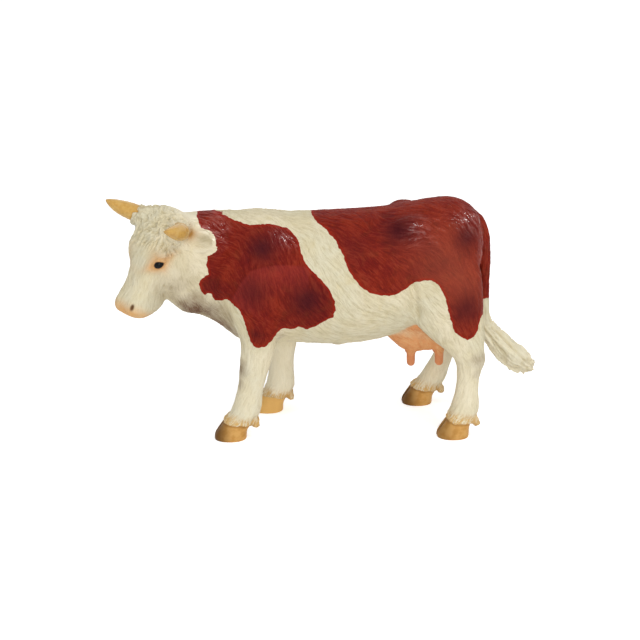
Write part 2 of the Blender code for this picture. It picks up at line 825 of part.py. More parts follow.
def build():
    clear_scene()
    cream = vinyl("cream_vinyl", CREAM, 0.5)
    horn_tan = vinyl("horn_vinyl", HORN_TAN, 0.4)
    pink = vinyl("udder_vinyl", UDDER_PINK, 0.45)

    body = skin()
    horns = {"horn_left": horn_rings(-1), "horn_right": horn_rings(1)}
    ears = {"ear_left": ear_rings(-1), "ear_right": ear_rings(1)}

    trunk = linked("trunk_source", body.data, helper=True)
    combine(trunk, head_cutter("head_side", -SEAM_GAP / 2), "DIFFERENCE")
    combine(trunk, neck_spigot("neck_socket", SEAM_GAP), "DIFFERENCE")

    head = linked("head_source", body.data, helper=True)
    combine(head, head_cutter("head_only", SEAM_GAP / 2), "INTERSECT")
    combine(head, neck_spigot("neck_spigot", 0), "UNION")
    for name, rings in {**horns, **ears}.items():
        socket = tube_object(name + "_socket", smoothed(grown(rings, SEAM_GAP)), 1)
        combine(head, socket, "DIFFERENCE")

    udder = tube_object("udder_source", smoothed(udder_rings()))
    for behind_share in (-0.05, 0.34):
        for hand in (-1, 1):
            rings = teat_rings(behind_share, hand)
            combine(udder, tube_object("teat", rings, 1), "UNION")
    udder_socket = tube_object("udder_socket", smoothed(grown(udder_rings(), SEAM_GAP)))
    combine(trunk, udder_socket, "DIFFERENCE")
    tail_socket = tube_object("tail_socket", smoothed(grown(tail_rings(), SEAM_GAP)), 1)
    combine(trunk, tail_socket, "DIFFERENCE")

    leg_sources = {}
    for leg in legs():
        source = linked(leg.name + "_source", body.data, helper=True)
        combine(source, leg_block(leg, leg.name + "_block", 0), "INTERSECT")
        combine(source, dowel(leg, leg.name + "_dowel", 0), "UNION")
        combine(source, cleft(leg.joints[0], leg.name + "_cleft"), "DIFFERENCE")
        if leg.sections is HIND_SECTION_SHARES:
            combine(source, udder_socket, "DIFFERENCE")
        combine(trunk, leg_block(leg, leg.name + "_pocket", SEAM_GAP), "DIFFERENCE")
        combine(trunk, dowel(leg, leg.name + "_hole", SEAM_GAP), "DIFFERENCE")
        leg_sources[leg.name] = source

    finish_piece("trunk", trunk, cream)
    finish_piece("head", head, cream)
    for name, source in leg_sources.items():
        finish_piece(name, source, cream)
    for name, rings in horns.items():
        finish_piece(name, tube_object(name + "_source", smoothed(rings), 1), horn_tan)
    for name, rings in ears.items():
        finish_piece(name, tube_object(name + "_source", smoothed(rings), 1), cream)
    finish_piece("tail", tube_object("tail_source", smoothed(tail_rings()), 1), cream)
    finish_piece("udder", udder, pink)


build()
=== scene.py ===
"""Looks of the toy farm animal figure: a painted vinyl cow, sculpted hair and all.

The skin is rebuilt at a fine grain from the same sizes as the CAD part, carved, and split into
pieces that stand for the CAD nodes. Everything is made in the spine's frame, as in the CAD
source, and moved into the row's frame at the end.
"""

import collections
import math

import bmesh
import bpy
import numpy as np
from mathutils import Matrix, Vector


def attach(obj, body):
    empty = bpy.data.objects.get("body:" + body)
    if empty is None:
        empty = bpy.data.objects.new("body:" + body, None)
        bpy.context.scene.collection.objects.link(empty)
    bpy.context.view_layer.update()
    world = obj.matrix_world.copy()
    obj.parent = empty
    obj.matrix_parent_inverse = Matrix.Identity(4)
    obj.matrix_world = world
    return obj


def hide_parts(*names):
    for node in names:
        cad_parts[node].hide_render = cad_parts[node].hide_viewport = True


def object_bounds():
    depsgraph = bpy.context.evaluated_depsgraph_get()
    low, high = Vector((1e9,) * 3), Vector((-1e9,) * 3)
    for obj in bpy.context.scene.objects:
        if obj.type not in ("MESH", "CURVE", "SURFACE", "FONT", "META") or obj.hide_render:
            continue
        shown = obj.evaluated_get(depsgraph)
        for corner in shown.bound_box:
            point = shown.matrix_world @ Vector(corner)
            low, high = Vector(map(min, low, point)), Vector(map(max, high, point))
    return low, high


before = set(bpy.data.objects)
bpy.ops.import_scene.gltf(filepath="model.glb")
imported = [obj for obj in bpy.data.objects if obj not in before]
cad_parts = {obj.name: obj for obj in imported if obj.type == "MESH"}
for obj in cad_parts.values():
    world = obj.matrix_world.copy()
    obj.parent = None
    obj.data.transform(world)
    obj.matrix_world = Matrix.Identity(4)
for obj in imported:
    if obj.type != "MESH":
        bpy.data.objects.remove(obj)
CAD_BOX = [list(corner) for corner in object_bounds()]

MM = 0.001
DEGREE = math.pi / 180

# Trunk: from the chest to the buttocks, and from the back down to the belly
BACK_HEIGHT = 71.5 * MM
TRUNK_LENGTH = 90 * MM
TRUNK_DEPTH = 43 * MM
TRUNK_WIDTH = 35 * MM

# Neck, from the middle of the chest to the poll
NECK_LENGTH = 22 * MM
NECK_DEPTH = 33 * MM
NECK_WIDTH = 20 * MM

# Head, measured down the face, from forehead to jaw, and across the brow
HEAD_LENGTH = 36 * MM
HEAD_DEPTH = 18 * MM
HEAD_WIDTH = 17 * MM
HEAD_TURN = 31 * DEGREE
HEAD_DROP = 61 * DEGREE
HEAD_TILT = 20.5 * DEGREE
POLL_AHEAD = 49 * MM
POLL_ASIDE = 7.6 * MM
POLL_BELOW_BACK = 1.2 * MM

# Legs, in side view and in front view at the knee or hock
FRONT_LEG_DEPTH = 9.5 * MM
FRONT_LEG_WIDTH = 8 * MM
HIND_LEG_DEPTH = 9.5 * MM
HIND_LEG_WIDTH = 8 * MM
ELBOW_HEIGHT = 36 * MM
STIFLE_HEIGHT = 38 * MM
FRONT_STANCE = 23.5 * MM
HIND_STANCE = 30 * MM

# Soles, as shares of the trunk's length from the chest back
LEFT_FRONT_SOLE_SHARE = 0.0944
RIGHT_FRONT_SOLE_SHARE = 0.2356
LEFT_HIND_SOLE_SHARE = 0.8856
RIGHT_HIND_SOLE_SHARE = 0.8033

# Hooves
HOOF_LENGTH = 10.8 * MM
HOOF_WIDTH = 9.4 * MM
HOOF_HEIGHT = 6.4 * MM
DEWCLAW_RADIUS = 1.2 * MM

# Horns and ears
HORN_LENGTH = 12.5 * MM
HORN_DIAMETER = 5.4 * MM
HORN_SPREAD = 16.2 * MM
RIGHT_HORN_LIFT_SHARE = 0.15
EAR_LENGTH = 11.5 * MM
EAR_WIDTH = 7 * MM
EAR_THICKNESS = 2.4 * MM

# Tail
TAIL_DIAMETER = 4.2 * MM
TAIL_DROP = 42 * MM
SWITCH_LENGTH = 20 * MM
SWITCH_WIDTH = 8.4 * MM

# Udder
UDDER_LENGTH = 23.5 * MM
UDDER_WIDTH = 19 * MM
UDDER_DEPTH = 8.6 * MM
TEAT_LENGTH = 5.4 * MM
TEAT_DIAMETER = 3 * MM

# Joints between the moulded pieces
LEG_BACK_FACE = 4.5 * MM
LEG_MARGIN = 2.6 * MM
SHOULDER_RADIUS = 13 * MM
THIGH_RADIUS = 14.5 * MM

# Shaping of the skin
RING_POINTS = 16
RING_STEPS = 2

# The middle of the whole figure, measured from the spine and the middle of the trunk
MIDDLE_X = 2.5 * MM
MIDDLE_Y = -2.8 * MM

AHEAD, RIGHT, UP = Vector((-1, 0, 0)), Vector((0, 1, 0)), Vector((0, 0, 1))

Ring = collections.namedtuple("Ring", "centre side up wide above below")
Leg = collections.namedtuple("Leg", "name joints sections depth width hand top_radius")


def lerp(a, b, share):
    return a + (b - a) * share


def smoothed(rings, steps=RING_STEPS):
    """The same rings with more between them, on a curve that passes through each."""
    rows = np.array([[*r.centre, *r.side, *r.up, r.wide, r.above, r.below] for r in rings])
    gaps = np.linalg.norm(np.diff(rows[:, :3], axis=0), axis=1)
    at = np.concatenate([[0.0], np.cumsum(gaps)])
    slopes = np.gradient(rows, at, axis=0)
    found = []
    for i, gap in enumerate(gaps):
        for step in range(steps):
            t = step / steps
            a = (2 * t**3 - 3 * t**2 + 1) * rows[i] + (t**3 - 2 * t**2 + t) * gap * slopes[i]
            b = (3 * t**2 - 2 * t**3) * rows[i + 1] + (t**3 - t**2) * gap * slopes[i + 1]
            found.append(a + b)
    found.append(rows[-1])
    return [
        Ring(Vector(r[:3]), Vector(r[3:6]).normalized(), Vector(r[6:9]).normalized(), *r[9:])
        for r in found
    ]


def add_tube(bm, rings, fullness=0.9, points=RING_POINTS):
    """A closed tube through the rings. Each ring is an oval with unlike upper and lower halves."""
    loops = []
    for ring in rings:
        loop = []
        for k in range(points):
            angle = 2 * math.pi * k / points
            across, along = math.cos(angle), math.sin(angle)
            half = ring.above if along > 0 else ring.below
            x = math.copysign(abs(across) ** fullness, across) * ring.wide
            y = math.copysign(abs(along) ** fullness, along) * half
            loop.append(bm.verts.new(ring.centre + ring.side * x + ring.up * y))
        loops.append(loop)
    for first, second in zip(loops, loops[1:]):
        for k in range(points):
            after = (k + 1) % points
            bm.faces.new((first[k], first[after], second[after], second[k]))
    bm.faces.new(loops[0][::-1])
    bm.faces.new(loops[-1])


def add_blob(bm, centre, axes, halves):
    """An egg whose half sizes lie along three unit axes."""
    turn = Matrix([axis * half for axis, half in zip(axes, halves)]).transposed().to_4x4()
    place = Matrix.Translation(centre) @ turn
    bmesh.ops.create_icosphere(bm, subdivisions=3, radius=1, matrix=place)


def trunk_x(along):
    """The place at a share of the trunk's length, from the chest back."""
    chest_share = 0.42
    return (along - chest_share) * TRUNK_LENGTH


def trunk_point(along, across, below):
    """A point from shares of the trunk's length, its half width, and its depth under the back."""
    z = BACK_HEIGHT - below * TRUNK_DEPTH
    return Vector((trunk_x(along), across * TRUNK_WIDTH / 2, z))


def trunk_rings():
    """Sections from the chest back to the buttocks."""
    # Along the trunk, top above the back line, bottom under it, half width
    section_shares = (
        (0.02, -0.17, 0.72, 0.17), (0.065, -0.06, 0.84, 0.3), (0.12, -0.005, 0.95, 0.4),
        (0.2, 0.005, 1.0, 0.46), (0.31, -0.015, 0.99, 0.48), (0.44, -0.01, 1.01, 0.5),
        (0.57, 0.0, 1.0, 0.5), (0.68, 0.02, 0.95, 0.48), (0.77, 0.055, 0.88, 0.45),
        (0.86, 0.08, 0.8, 0.42), (0.92, 0.06, 0.71, 0.36), (0.965, -0.01, 0.56, 0.27),
        (0.99, -0.13, 0.4, 0.15),
    )
    widest_share = 0.46
    rings = []
    for along, top, bottom, half in section_shares:
        centre = trunk_point(along, 0, lerp(bottom, -top, widest_share))
        above = BACK_HEIGHT + top * TRUNK_DEPTH - centre.z
        below = centre.z - BACK_HEIGHT + bottom * TRUNK_DEPTH
        rings.append(Ring(centre, RIGHT, UP, half * TRUNK_WIDTH, above, below))
    return rings


def add_trunk_swells(bm):
    """Shoulder blades, hip bones, pin bones and brisket, which stand proud of the barrel."""
    # Along, across and below the back, then half sizes along, across and up
    swell_shares = (
        (0.165, 0.56, 0.43, 0.125, 0.15, 0.26), (0.215, 0.62, 0.62, 0.1, 0.13, 0.2),
        (0.737, 0.5, 0.105, 0.085, 0.14, 0.095), (0.935, 0.32, 0.07, 0.04, 0.09, 0.09),
        (0.486, 0.0, 1.0, 0.045, 0.07, 0.05),
    )
    sizes = (TRUNK_LENGTH, TRUNK_WIDTH, TRUNK_DEPTH)
    for along, across, below, *half_shares in swell_shares:
        halves = [share * size for share, size in zip(half_shares, sizes)]
        for hand in (-1, 1):
            add_blob(bm, trunk_point(along, across * hand, below), (AHEAD, RIGHT, UP), halves)


def head_axes():
    """Unit vectors down the face, out of the forehead, and to the cow's right."""
    level = Vector((-math.cos(HEAD_TURN), -math.sin(HEAD_TURN), 0))
    aside = Vector((-math.sin(HEAD_TURN), math.cos(HEAD_TURN), 0))
    down = level * math.cos(HEAD_DROP) - UP * math.sin(HEAD_DROP)
    out = level * math.sin(HEAD_DROP) + UP * math.cos(HEAD_DROP)
    tilt = Matrix.Rotation(-HEAD_TILT, 3, down)
    return down, tilt @ out, tilt @ aside


def poll():
    """The middle of the line between the horns' roots."""
    return Vector((-POLL_AHEAD, -POLL_ASIDE, BACK_HEIGHT - POLL_BELOW_BACK))


def head_point(down_share, out_share, right_share):
    """A point from the poll, in shares of the head's length, its depth and its half width."""
    down, out, right = head_axes()
    reach = down * down_share * HEAD_LENGTH + out * out_share * HEAD_DEPTH
    return poll() + reach + right * right_share * HEAD_WIDTH / 2


def head_rings():
    """Sections down the head from the poll to the lips."""
    # Down the face, forehead, widest line, jaw, half width
    section_shares = (
        (-0.147, -0.11, -0.25, -0.44, 0.22), (-0.115, 0.01, -0.12, -0.52, 0.37),
        (-0.055, 0.1, -0.05, -0.61, 0.52), (0.028, 0.16, -0.03, -0.68, 0.56),
        (0.097, 0.19, 0.0, -0.72, 0.5), (0.165, 0.19, 0.0, -0.75, 0.44),
        (0.264, 0.18, 0.0, -0.79, 0.42), (0.347, 0.16, -0.03, -0.82, 0.39),
        (0.417, 0.13, -0.08, -0.84, 0.35), (0.472, 0.11, -0.11, -0.84, 0.33),
        (0.556, 0.09, -0.16, -0.83, 0.31), (0.653, 0.08, -0.19, -0.79, 0.33),
        (0.736, 0.09, -0.19, -0.64, 0.36), (0.785, 0.07, -0.17, -0.46, 0.35),
        (0.826, 0.01, -0.16, -0.34, 0.29), (0.85, -0.07, -0.16, -0.26, 0.15),
    )
    down, out, right = head_axes()
    rings = []
    for along, front, widest, back, half in section_shares:
        centre = poll() + down * along * HEAD_LENGTH + out * widest * HEAD_DEPTH
        reach = ((front - widest) * HEAD_DEPTH, (widest - back) * HEAD_DEPTH)
        rings.append(Ring(centre, right, out, half * HEAD_WIDTH, *reach))
    return rings


def add_head_swells(bm):
    """Brows, eyes, cheeks, nostrils, poll and chin."""
    # Down, out and right, then half sizes down, out and right
    paired_shares = (
        (0.265, 0.04, 0.73, 0.085, 0.1, 0.085), (0.353, 0.02, 0.66, 0.045, 0.067, 0.08),
        (0.36, -0.44, 0.62, 0.17, 0.28, 0.155), (0.775, -0.05, 0.28, 0.078, 0.12, 0.14),
    )
    middle_shares = (
        (-0.085, -0.2, 0.0, 0.07, 0.22, 0.3), (0.715, -0.5, 0.0, 0.08, 0.13, 0.21),
    )
    sizes = (HEAD_LENGTH, HEAD_DEPTH, HEAD_WIDTH)
    rows = [(*row, hand) for row in paired_shares for hand in (-1, 1)]
    rows += [(*row, 1) for row in middle_shares]
    for down_share, out_share, right_share, *half_shares, hand in rows:
        halves = [share * size for share, size in zip(half_shares, sizes)]
        centre = head_point(down_share, out_share, right_share * hand)
        add_blob(bm, centre, head_axes(), halves)


def neck_rings():
    """Upright sections from inside the chest to inside the skull, bending to the cow's left."""
    # Ahead, aside, top above the back line, bottom under it, half width
    section_shares = (
        (-0.36, 0.0, -0.03, 1.18, 0.68), (0.0, 0.0, 0.005, 1.23, 0.63),
        (0.27, 0.03, 0.01, 1.1, 0.57), (0.55, 0.1, 0.01, 0.99, 0.5), (0.77, 0.2, 0.005, 0.95, 0.44),
        (1.0, 0.38, -0.06, 0.735, 0.36), (1.14, 0.55, -0.2, 0.545, 0.26),
    )
    root_ahead = POLL_AHEAD - NECK_LENGTH
    widest_share = 0.52
    centres = [
        Vector(
            (
                -root_ahead - ahead * NECK_LENGTH,
                -aside * NECK_WIDTH,
                BACK_HEIGHT + lerp(-bottom, top, widest_share) * NECK_DEPTH,
            )
        )
        for ahead, aside, top, bottom, half in section_shares
    ]
    rings = []
    for i, (ahead, aside, top, bottom, half) in enumerate(section_shares):
        way = centres[min(i + 1, len(centres) - 1)] - centres[max(i - 1, 0)]
        side = way.cross(UP).normalized()
        above = BACK_HEIGHT + top * NECK_DEPTH - centres[i].z
        below = centres[i].z - BACK_HEIGHT + bottom * NECK_DEPTH
        rings.append(Ring(centres[i], side, UP, half * NECK_WIDTH, above, below))
    return rings


def neck_seam():
    """The middle of the joint between neck and trunk, and its normal, which points ahead."""
    middle = trunk_point(0.07, 0, 0.40)
    ahead = Vector((-1, -0.12, 0.30)).normalized()
    return middle, ahead


# Bone, place along it, then half sizes ahead, behind and across
FRONT_SECTION_SHARES = (
    (0, 0.35, 0.46, 0.42, 0.44), (0, 0.6, 0.49, 0.46, 0.47), (0, 0.9, 0.5, 0.54, 0.5),
    (1, 0.2, 0.46, 0.48, 0.46), (1, 0.5, 0.44, 0.44, 0.42), (1, 0.8, 0.48, 0.46, 0.45),
    (2, 0.0, 0.53, 0.5, 0.5), (2, 0.35, 0.53, 0.55, 0.51), (2, 0.7, 0.6, 0.68, 0.58),
    (3, 0.0, 0.8, 0.86, 0.68), (3, 0.45, 0.96, 0.92, 0.77), (3, 0.9, 0.8, 0.8, 0.68),
    (3, 1.2, 0.5, 0.5, 0.44),
)
HIND_SECTION_SHARES = (
    (0, 0.35, 0.45, 0.4, 0.44), (0, 0.6, 0.48, 0.45, 0.48), (0, 0.9, 0.48, 0.52, 0.51),
    (1, 0.2, 0.42, 0.45, 0.46), (1, 0.5, 0.38, 0.38, 0.4), (1, 0.8, 0.42, 0.43, 0.43),
    (2, 0.0, 0.51, 0.53, 0.49), (2, 0.25, 0.64, 0.66, 0.54), (2, 0.55, 0.92, 0.92, 0.62),
    (3, 0.0, 1.15, 1.18, 0.76), (3, 0.45, 1.24, 1.22, 0.84), (3, 0.9, 1.1, 1.1, 0.78),
    (3, 1.25, 0.8, 0.8, 0.58), (3, 1.45, 0.4, 0.4, 0.3),
)

# Behind the sole, out from the spine as a share of half the stance, and above the ground.
# Lengths and heights are shares of the elbow's or the stifle's height.
LEFT_FRONT_JOINT_SHARES = (
    (0.0, 1.0, 0.0), (0.136, 0.98, 0.26), (0.22, 0.94, 0.65), (0.266, 0.9, 1.0), (0.19, 0.7, 1.47),
)
RIGHT_FRONT_JOINT_SHARES = (
    (0.0, 1.0, 0.0), (0.115, 0.98, 0.26), (0.13, 0.94, 0.64), (0.13, 0.9, 1.0), (-0.04, 0.7, 1.47),
)
LEFT_HIND_JOINT_SHARES = (
    (0.0, 1.0, 0.0), (0.09, 0.98, 0.24), (0.13, 0.9, 0.66), (-0.06, 0.76, 1.0), (-0.08, 0.55, 1.5),
)
RIGHT_HIND_JOINT_SHARES = (
    (0.0, 1.0, 0.0), (0.125, 0.98, 0.24), (0.3, 0.92, 0.63), (0.135, 0.78, 1.0), (0.12, 0.55, 1.5),
)


def leg_joints(joint_shares, sole_share, hand, stance, height):
    """Sole, fetlock, knee, elbow and shoulder, or the same joints of a hind leg."""
    sole_x = trunk_x(sole_share)
    return [
        Vector((sole_x + behind * height, hand * out * stance / 2, up * height))
        for behind, out, up in joint_shares
    ]


def legs():
    front = (FRONT_SECTION_SHARES, FRONT_LEG_DEPTH, FRONT_LEG_WIDTH)
    hind = (HIND_SECTION_SHARES, HIND_LEG_DEPTH, HIND_LEG_WIDTH)
    rows = (
        ("front_leg_left", LEFT_FRONT_JOINT_SHARES, LEFT_FRONT_SOLE_SHARE, -1, front),
        ("front_leg_right", RIGHT_FRONT_JOINT_SHARES, RIGHT_FRONT_SOLE_SHARE, 1, front),
        ("hind_leg_left", LEFT_HIND_JOINT_SHARES, LEFT_HIND_SOLE_SHARE, -1, hind),
        ("hind_leg_right", RIGHT_HIND_JOINT_SHARES, RIGHT_HIND_SOLE_SHARE, 1, hind),
    )
    found = []
    for name, joint_shares, sole_share, hand, build_of in rows:
        if build_of is front:
            stance, height, radius = FRONT_STANCE, ELBOW_HEIGHT, SHOULDER_RADIUS
        else:
            stance, height, radius = HIND_STANCE, STIFLE_HEIGHT, THIGH_RADIUS
        joints = leg_joints(joint_shares, sole_share, hand, stance, height)
        found.append(Leg(name, joints, *build_of, hand, radius))
    return found


def leg_rings(leg):
    """Level sections up the leg."""
    rings = []
    for bone, share, ahead, behind, half in leg.sections:
        centre = lerp(leg.joints[bone], leg.joints[bone + 1], share)
        reach = (half * leg.width, ahead * leg.depth, behind * leg.depth)
        rings.append(Ring(centre, RIGHT, AHEAD, *reach))
    return rings


def hoof_rings(sole):
    """Level sections of one hoof. Its toe wall slopes back and its heel is upright."""
    # Height, toe, heel, half width
    section_shares = (
        (-0.16, 0.5, 0.46, 0.48), (0.2, 0.51, 0.47, 0.5), (0.5, 0.4, 0.47, 0.49),
        (0.85, 0.25, 0.46, 0.45), (1.2, 0.12, 0.4, 0.36),
    )
    rings = []
    for height, toe, heel, half in section_shares:
        centre = sole + UP * height * HOOF_HEIGHT
        reach = (half * HOOF_WIDTH, toe * HOOF_LENGTH, heel * HOOF_LENGTH)
        rings.append(Ring(centre, RIGHT, AHEAD, *reach))
    return rings


def add_dewclaws(bm, leg):
    """Two small claws that hang behind the fetlock."""
    fetlock = lerp(leg.joints[0], leg.joints[1], 0.58)
    axes = (AHEAD, RIGHT, UP)
    halves = (DEWCLAW_RADIUS, DEWCLAW_RADIUS, DEWCLAW_RADIUS * 1.5)
    for hand in (-1, 1):
        centre = fetlock - AHEAD * leg.depth * 0.52 + RIGHT * hand * leg.width * 0.24
        add_blob(bm, centre, axes, halves)


def leg_outline(leg):
    """The side view of the leg's share of the skin: round the leg, with a round top."""
    lower = [ring for ring, row in zip(leg_rings(leg), leg.sections) if row[0] < 2]
    foot = hoof_rings(leg.joints[0])[0]
    lower.insert(0, foot._replace(centre=foot.centre - UP * LEG_MARGIN))
    front = [Vector((r.centre.x - r.above - LEG_MARGIN, r.centre.z)) for r in lower]
    back = [Vector((r.centre.x + r.below + LEG_MARGIN, r.centre.z)) for r in lower]
    top = leg.joints[3]
    arc = []
    for k in range(RING_POINTS + 1):
        angle = math.pi * (1 - k / RING_POINTS)
        turn = Vector((math.cos(angle), math.sin(angle)))
        arc.append(Vector((top.x, top.z)) + turn * leg.top_radius)
    return [*front, *arc, *back[::-1]]


def rings_along(points, halves, flat_up):
    """Rings square to a path, with one axis turned as near to flat_up as it goes."""
    rings = []
    for i, (point, half) in enumerate(zip(points, halves)):
        ahead = (points[min(i + 1, len(points) - 1)] - points[max(i - 1, 0)]).normalized()
        side = flat_up.cross(ahead).normalized()
        rings.append(Ring(point, side, ahead.cross(side), half, half, half))
    return rings


def horn_rings(hand):
    """A horn that leaves the side of the poll and curves ahead; the right one points higher."""
    down, out, right = head_axes()
    root = head_point(0.02, 0, 0) + right * hand * HORN_SPREAD / 2
    lift = RIGHT_HORN_LIFT_SHARE if hand > 0 else 0
    # Aside, out and down in horn lengths, then half width in horn diameters
    path_shares = (
        (-0.04, 0.0, 0.0, 0.51), (0.13, 0.17, 0.01, 0.51), (0.24, 0.39, 0.04, 0.47),
        (0.31, 0.61, 0.08, 0.38), (0.35, 0.82, 0.12, 0.25), (0.36, 0.97, 0.155, 0.12),
        (0.36, 1.04, 0.17, 0.04),
    )
    points = [
        root + (right * hand * aside + out * ahead + down * (fall - lift * ahead**2)) * HORN_LENGTH
        for aside, ahead, fall, _ in path_shares
    ]
    halves = [row[3] * HORN_DIAMETER for row in path_shares]
    return rings_along(points, halves, -down)


def ear_rings(hand):
    """A leaf-shaped ear that stands out under the horn and points a little back."""
    down, out, right = head_axes()
    root = head_point(0.050, -0.295, 0.98 * hand)
    # Aside, back and up in ear lengths, then half width in ear widths
    path_shares = (
        (0.0, 0.0, 0.0, 0.28), (0.12, 0.06, 0.02, 0.4), (0.24, 0.13, 0.06, 0.48),
        (0.38, 0.21, 0.11, 0.51), (0.5, 0.28, 0.15, 0.47), (0.59, 0.33, 0.18, 0.36),
        (0.64, 0.355, 0.2, 0.22), (0.66, 0.365, 0.205, 0.08),
    )
    points = [
        root + (right * hand * aside - out * back - down * rise) * EAR_LENGTH
        for aside, back, rise, _ in path_shares
    ]
    halves = [row[3] * EAR_WIDTH for row in path_shares]
    thin = EAR_THICKNESS / 2
    return [
        ring._replace(above=min(ring.wide, thin), below=min(ring.wide, thin))
        for ring in rings_along(points, halves, out + right * hand * 0.5)
    ]


def tail_rings():
    """The tail climbs out of the rump, hangs behind it and swings out in its switch."""
    root = trunk_point(0.925, 0, 0.20)
    # Back in tail diameters, down in shares of its drop, half width in tail diameters
    hang_shares = (
        (0.0, 0.0, 0.62), (0.4, -0.105, 0.62), (0.93, -0.125, 0.59), (1.38, -0.05, 0.54),
        (1.68, 0.09, 0.5), (1.78, 0.34, 0.46), (1.82, 0.58, 0.47), (1.94, 0.73, 0.6),
    )
    # Back and down in switch lengths, half width in switch widths
    switch_shares = (
        (0.14, 0.18, 0.4), (0.32, 0.37, 0.47), (0.51, 0.54, 0.48), (0.68, 0.67, 0.4),
        (0.79, 0.75, 0.26), (0.84, 0.78, 0.1),
    )
    points, halves = [], []
    for back, below, half in hang_shares:
        points.append(root - AHEAD * back * TAIL_DIAMETER - UP * below * TAIL_DROP)
        halves.append(half * TAIL_DIAMETER)
    bend = points[-1]
    for back, below, half in switch_shares:
        points.append(bend - AHEAD * back * SWITCH_LENGTH - UP * below * SWITCH_LENGTH)
        halves.append(half * SWITCH_WIDTH)
    return rings_along(points, halves, RIGHT)


def udder_rings():
    """Level sections of the bag, from inside the belly down to its floor."""
    # Height under the middle, length ahead, length behind, half width
    section_shares = (
        (-0.45, 0.38, 0.36, 0.36), (-0.2, 0.47, 0.42, 0.45), (0.12, 0.5, 0.47, 0.5),
        (0.42, 0.41, 0.5, 0.49), (0.75, 0.29, 0.48, 0.43), (1.02, 0.17, 0.4, 0.32),
        (1.14, 0.08, 0.24, 0.17),
    )
    rings = []
    for below, ahead, behind, half in section_shares:
        centre = udder_middle() - UP * below * UDDER_DEPTH
        reach = (half * UDDER_WIDTH, ahead * UDDER_LENGTH, behind * UDDER_LENGTH)
        rings.append(Ring(centre, RIGHT, AHEAD, *reach))
    return rings


def udder_middle():
    return trunk_point(0.755, 0, 0.86)


def teat_rings(behind_share, hand):
    root = udder_middle() - AHEAD * behind_share * UDDER_LENGTH
    root += RIGHT * hand * 0.27 * UDDER_WIDTH - UP * 0.7 * UDDER_DEPTH
    # Down in teat lengths, half width in teat diameters
    section_shares = (
        (0.0, 0.78), (0.35, 0.62), (0.7, 0.48), (1.1, 0.46), (1.35, 0.36), (1.43, 0.18),
    )
    rings = []
    for below, half in section_shares:
        centre = root + (RIGHT * hand * 0.12 - UP) * below * TEAT_LENGTH
        rings.append(Ring(centre, RIGHT, AHEAD, *[half * TEAT_DIAMETER] * 3))
    return rings


# Fine skin

GRAIN = 0.31 * MM
BLEND_ROUNDS = 60
JOIN_ROUNDS = 6
ROOT_ROUNDS = 14
TAIL_ROOT_ROUNDS = 140
EAR_TIP_ROUNDS = 24
SWITCH_TIP_ROUNDS = 10
TUBE_POINTS = 24
TEAT_PLACE_SHARES = (-0.05, 0.34)
RIGHT_TEATS_BEHIND_SHARE = 0.04
SPINE_TO_ROW = np.array([-MIDDLE_X, -MIDDLE_Y, 0.0])


def object_of(name, bm):
    bmesh.ops.recalc_face_normals(bm, faces=bm.faces)
    mesh = bpy.data.meshes.new(name)
    bm.to_mesh(mesh)
    bm.free()
    obj = bpy.data.objects.new(name, mesh)
    bpy.context.scene.collection.objects.link(obj)
    return obj


def fused(bm, rounds):
    """The mesh of everything in bm, melted into one skin of even small faces."""
    obj = object_of("rough", bm)
    fuse = obj.modifiers.new("Fuse", "REMESH")
    fuse.mode = "VOXEL"
    fuse.voxel_size = GRAIN
    relax = obj.modifiers.new("Relax", "SMOOTH")
    relax.factor = 0.5
    relax.iterations = rounds
    graph = bpy.context.evaluated_depsgraph_get()
    mesh = bpy.data.meshes.new_from_object(obj.evaluated_get(graph))
    bpy.data.objects.remove(obj)
    return mesh


def base_skin():
    """The body without its ears, tail, udder and dewclaws, as smooth as in the CAD source."""
    bm = bmesh.new()
    masses = [trunk_rings(), neck_rings(), head_rings()]
    for leg in legs():
        masses += [leg_rings(leg), hoof_rings(leg.joints[0])]
    for rings in masses:
        add_tube(bm, smoothed(rings), points=2 * RING_POINTS)
    add_trunk_swells(bm)
    add_head_swells(bm)
    return fused(bm, BLEND_ROUNDS)


def teats(hand):
    """The rings of the front and the hind teat of one side."""
    behind = RIGHT_TEATS_BEHIND_SHARE if hand > 0 else 0
    return [teat_rings(share + behind, hand) for share in TEAT_PLACE_SHARES]


def whole_skin():
    """The body with all that grows out of it."""
    bm = bmesh.new()
    bm.from_mesh(base_skin())
    for hand in (-1, 1):
        add_tube(bm, smoothed(ear_rings(hand), 4), 1, TUBE_POINTS)
        for rings in teats(hand):
            add_tube(bm, smoothed(rings, 3), 1, TUBE_POINTS)
    add_tube(bm, smoothed(tail_rings(), 4), 1, TUBE_POINTS)
    add_tube(bm, smoothed(udder_rings(), 4), 0.9, 2 * TUBE_POINTS)
    for leg in legs():
        add_dewclaws(bm, leg)
    return fused(bm, JOIN_ROUNDS)


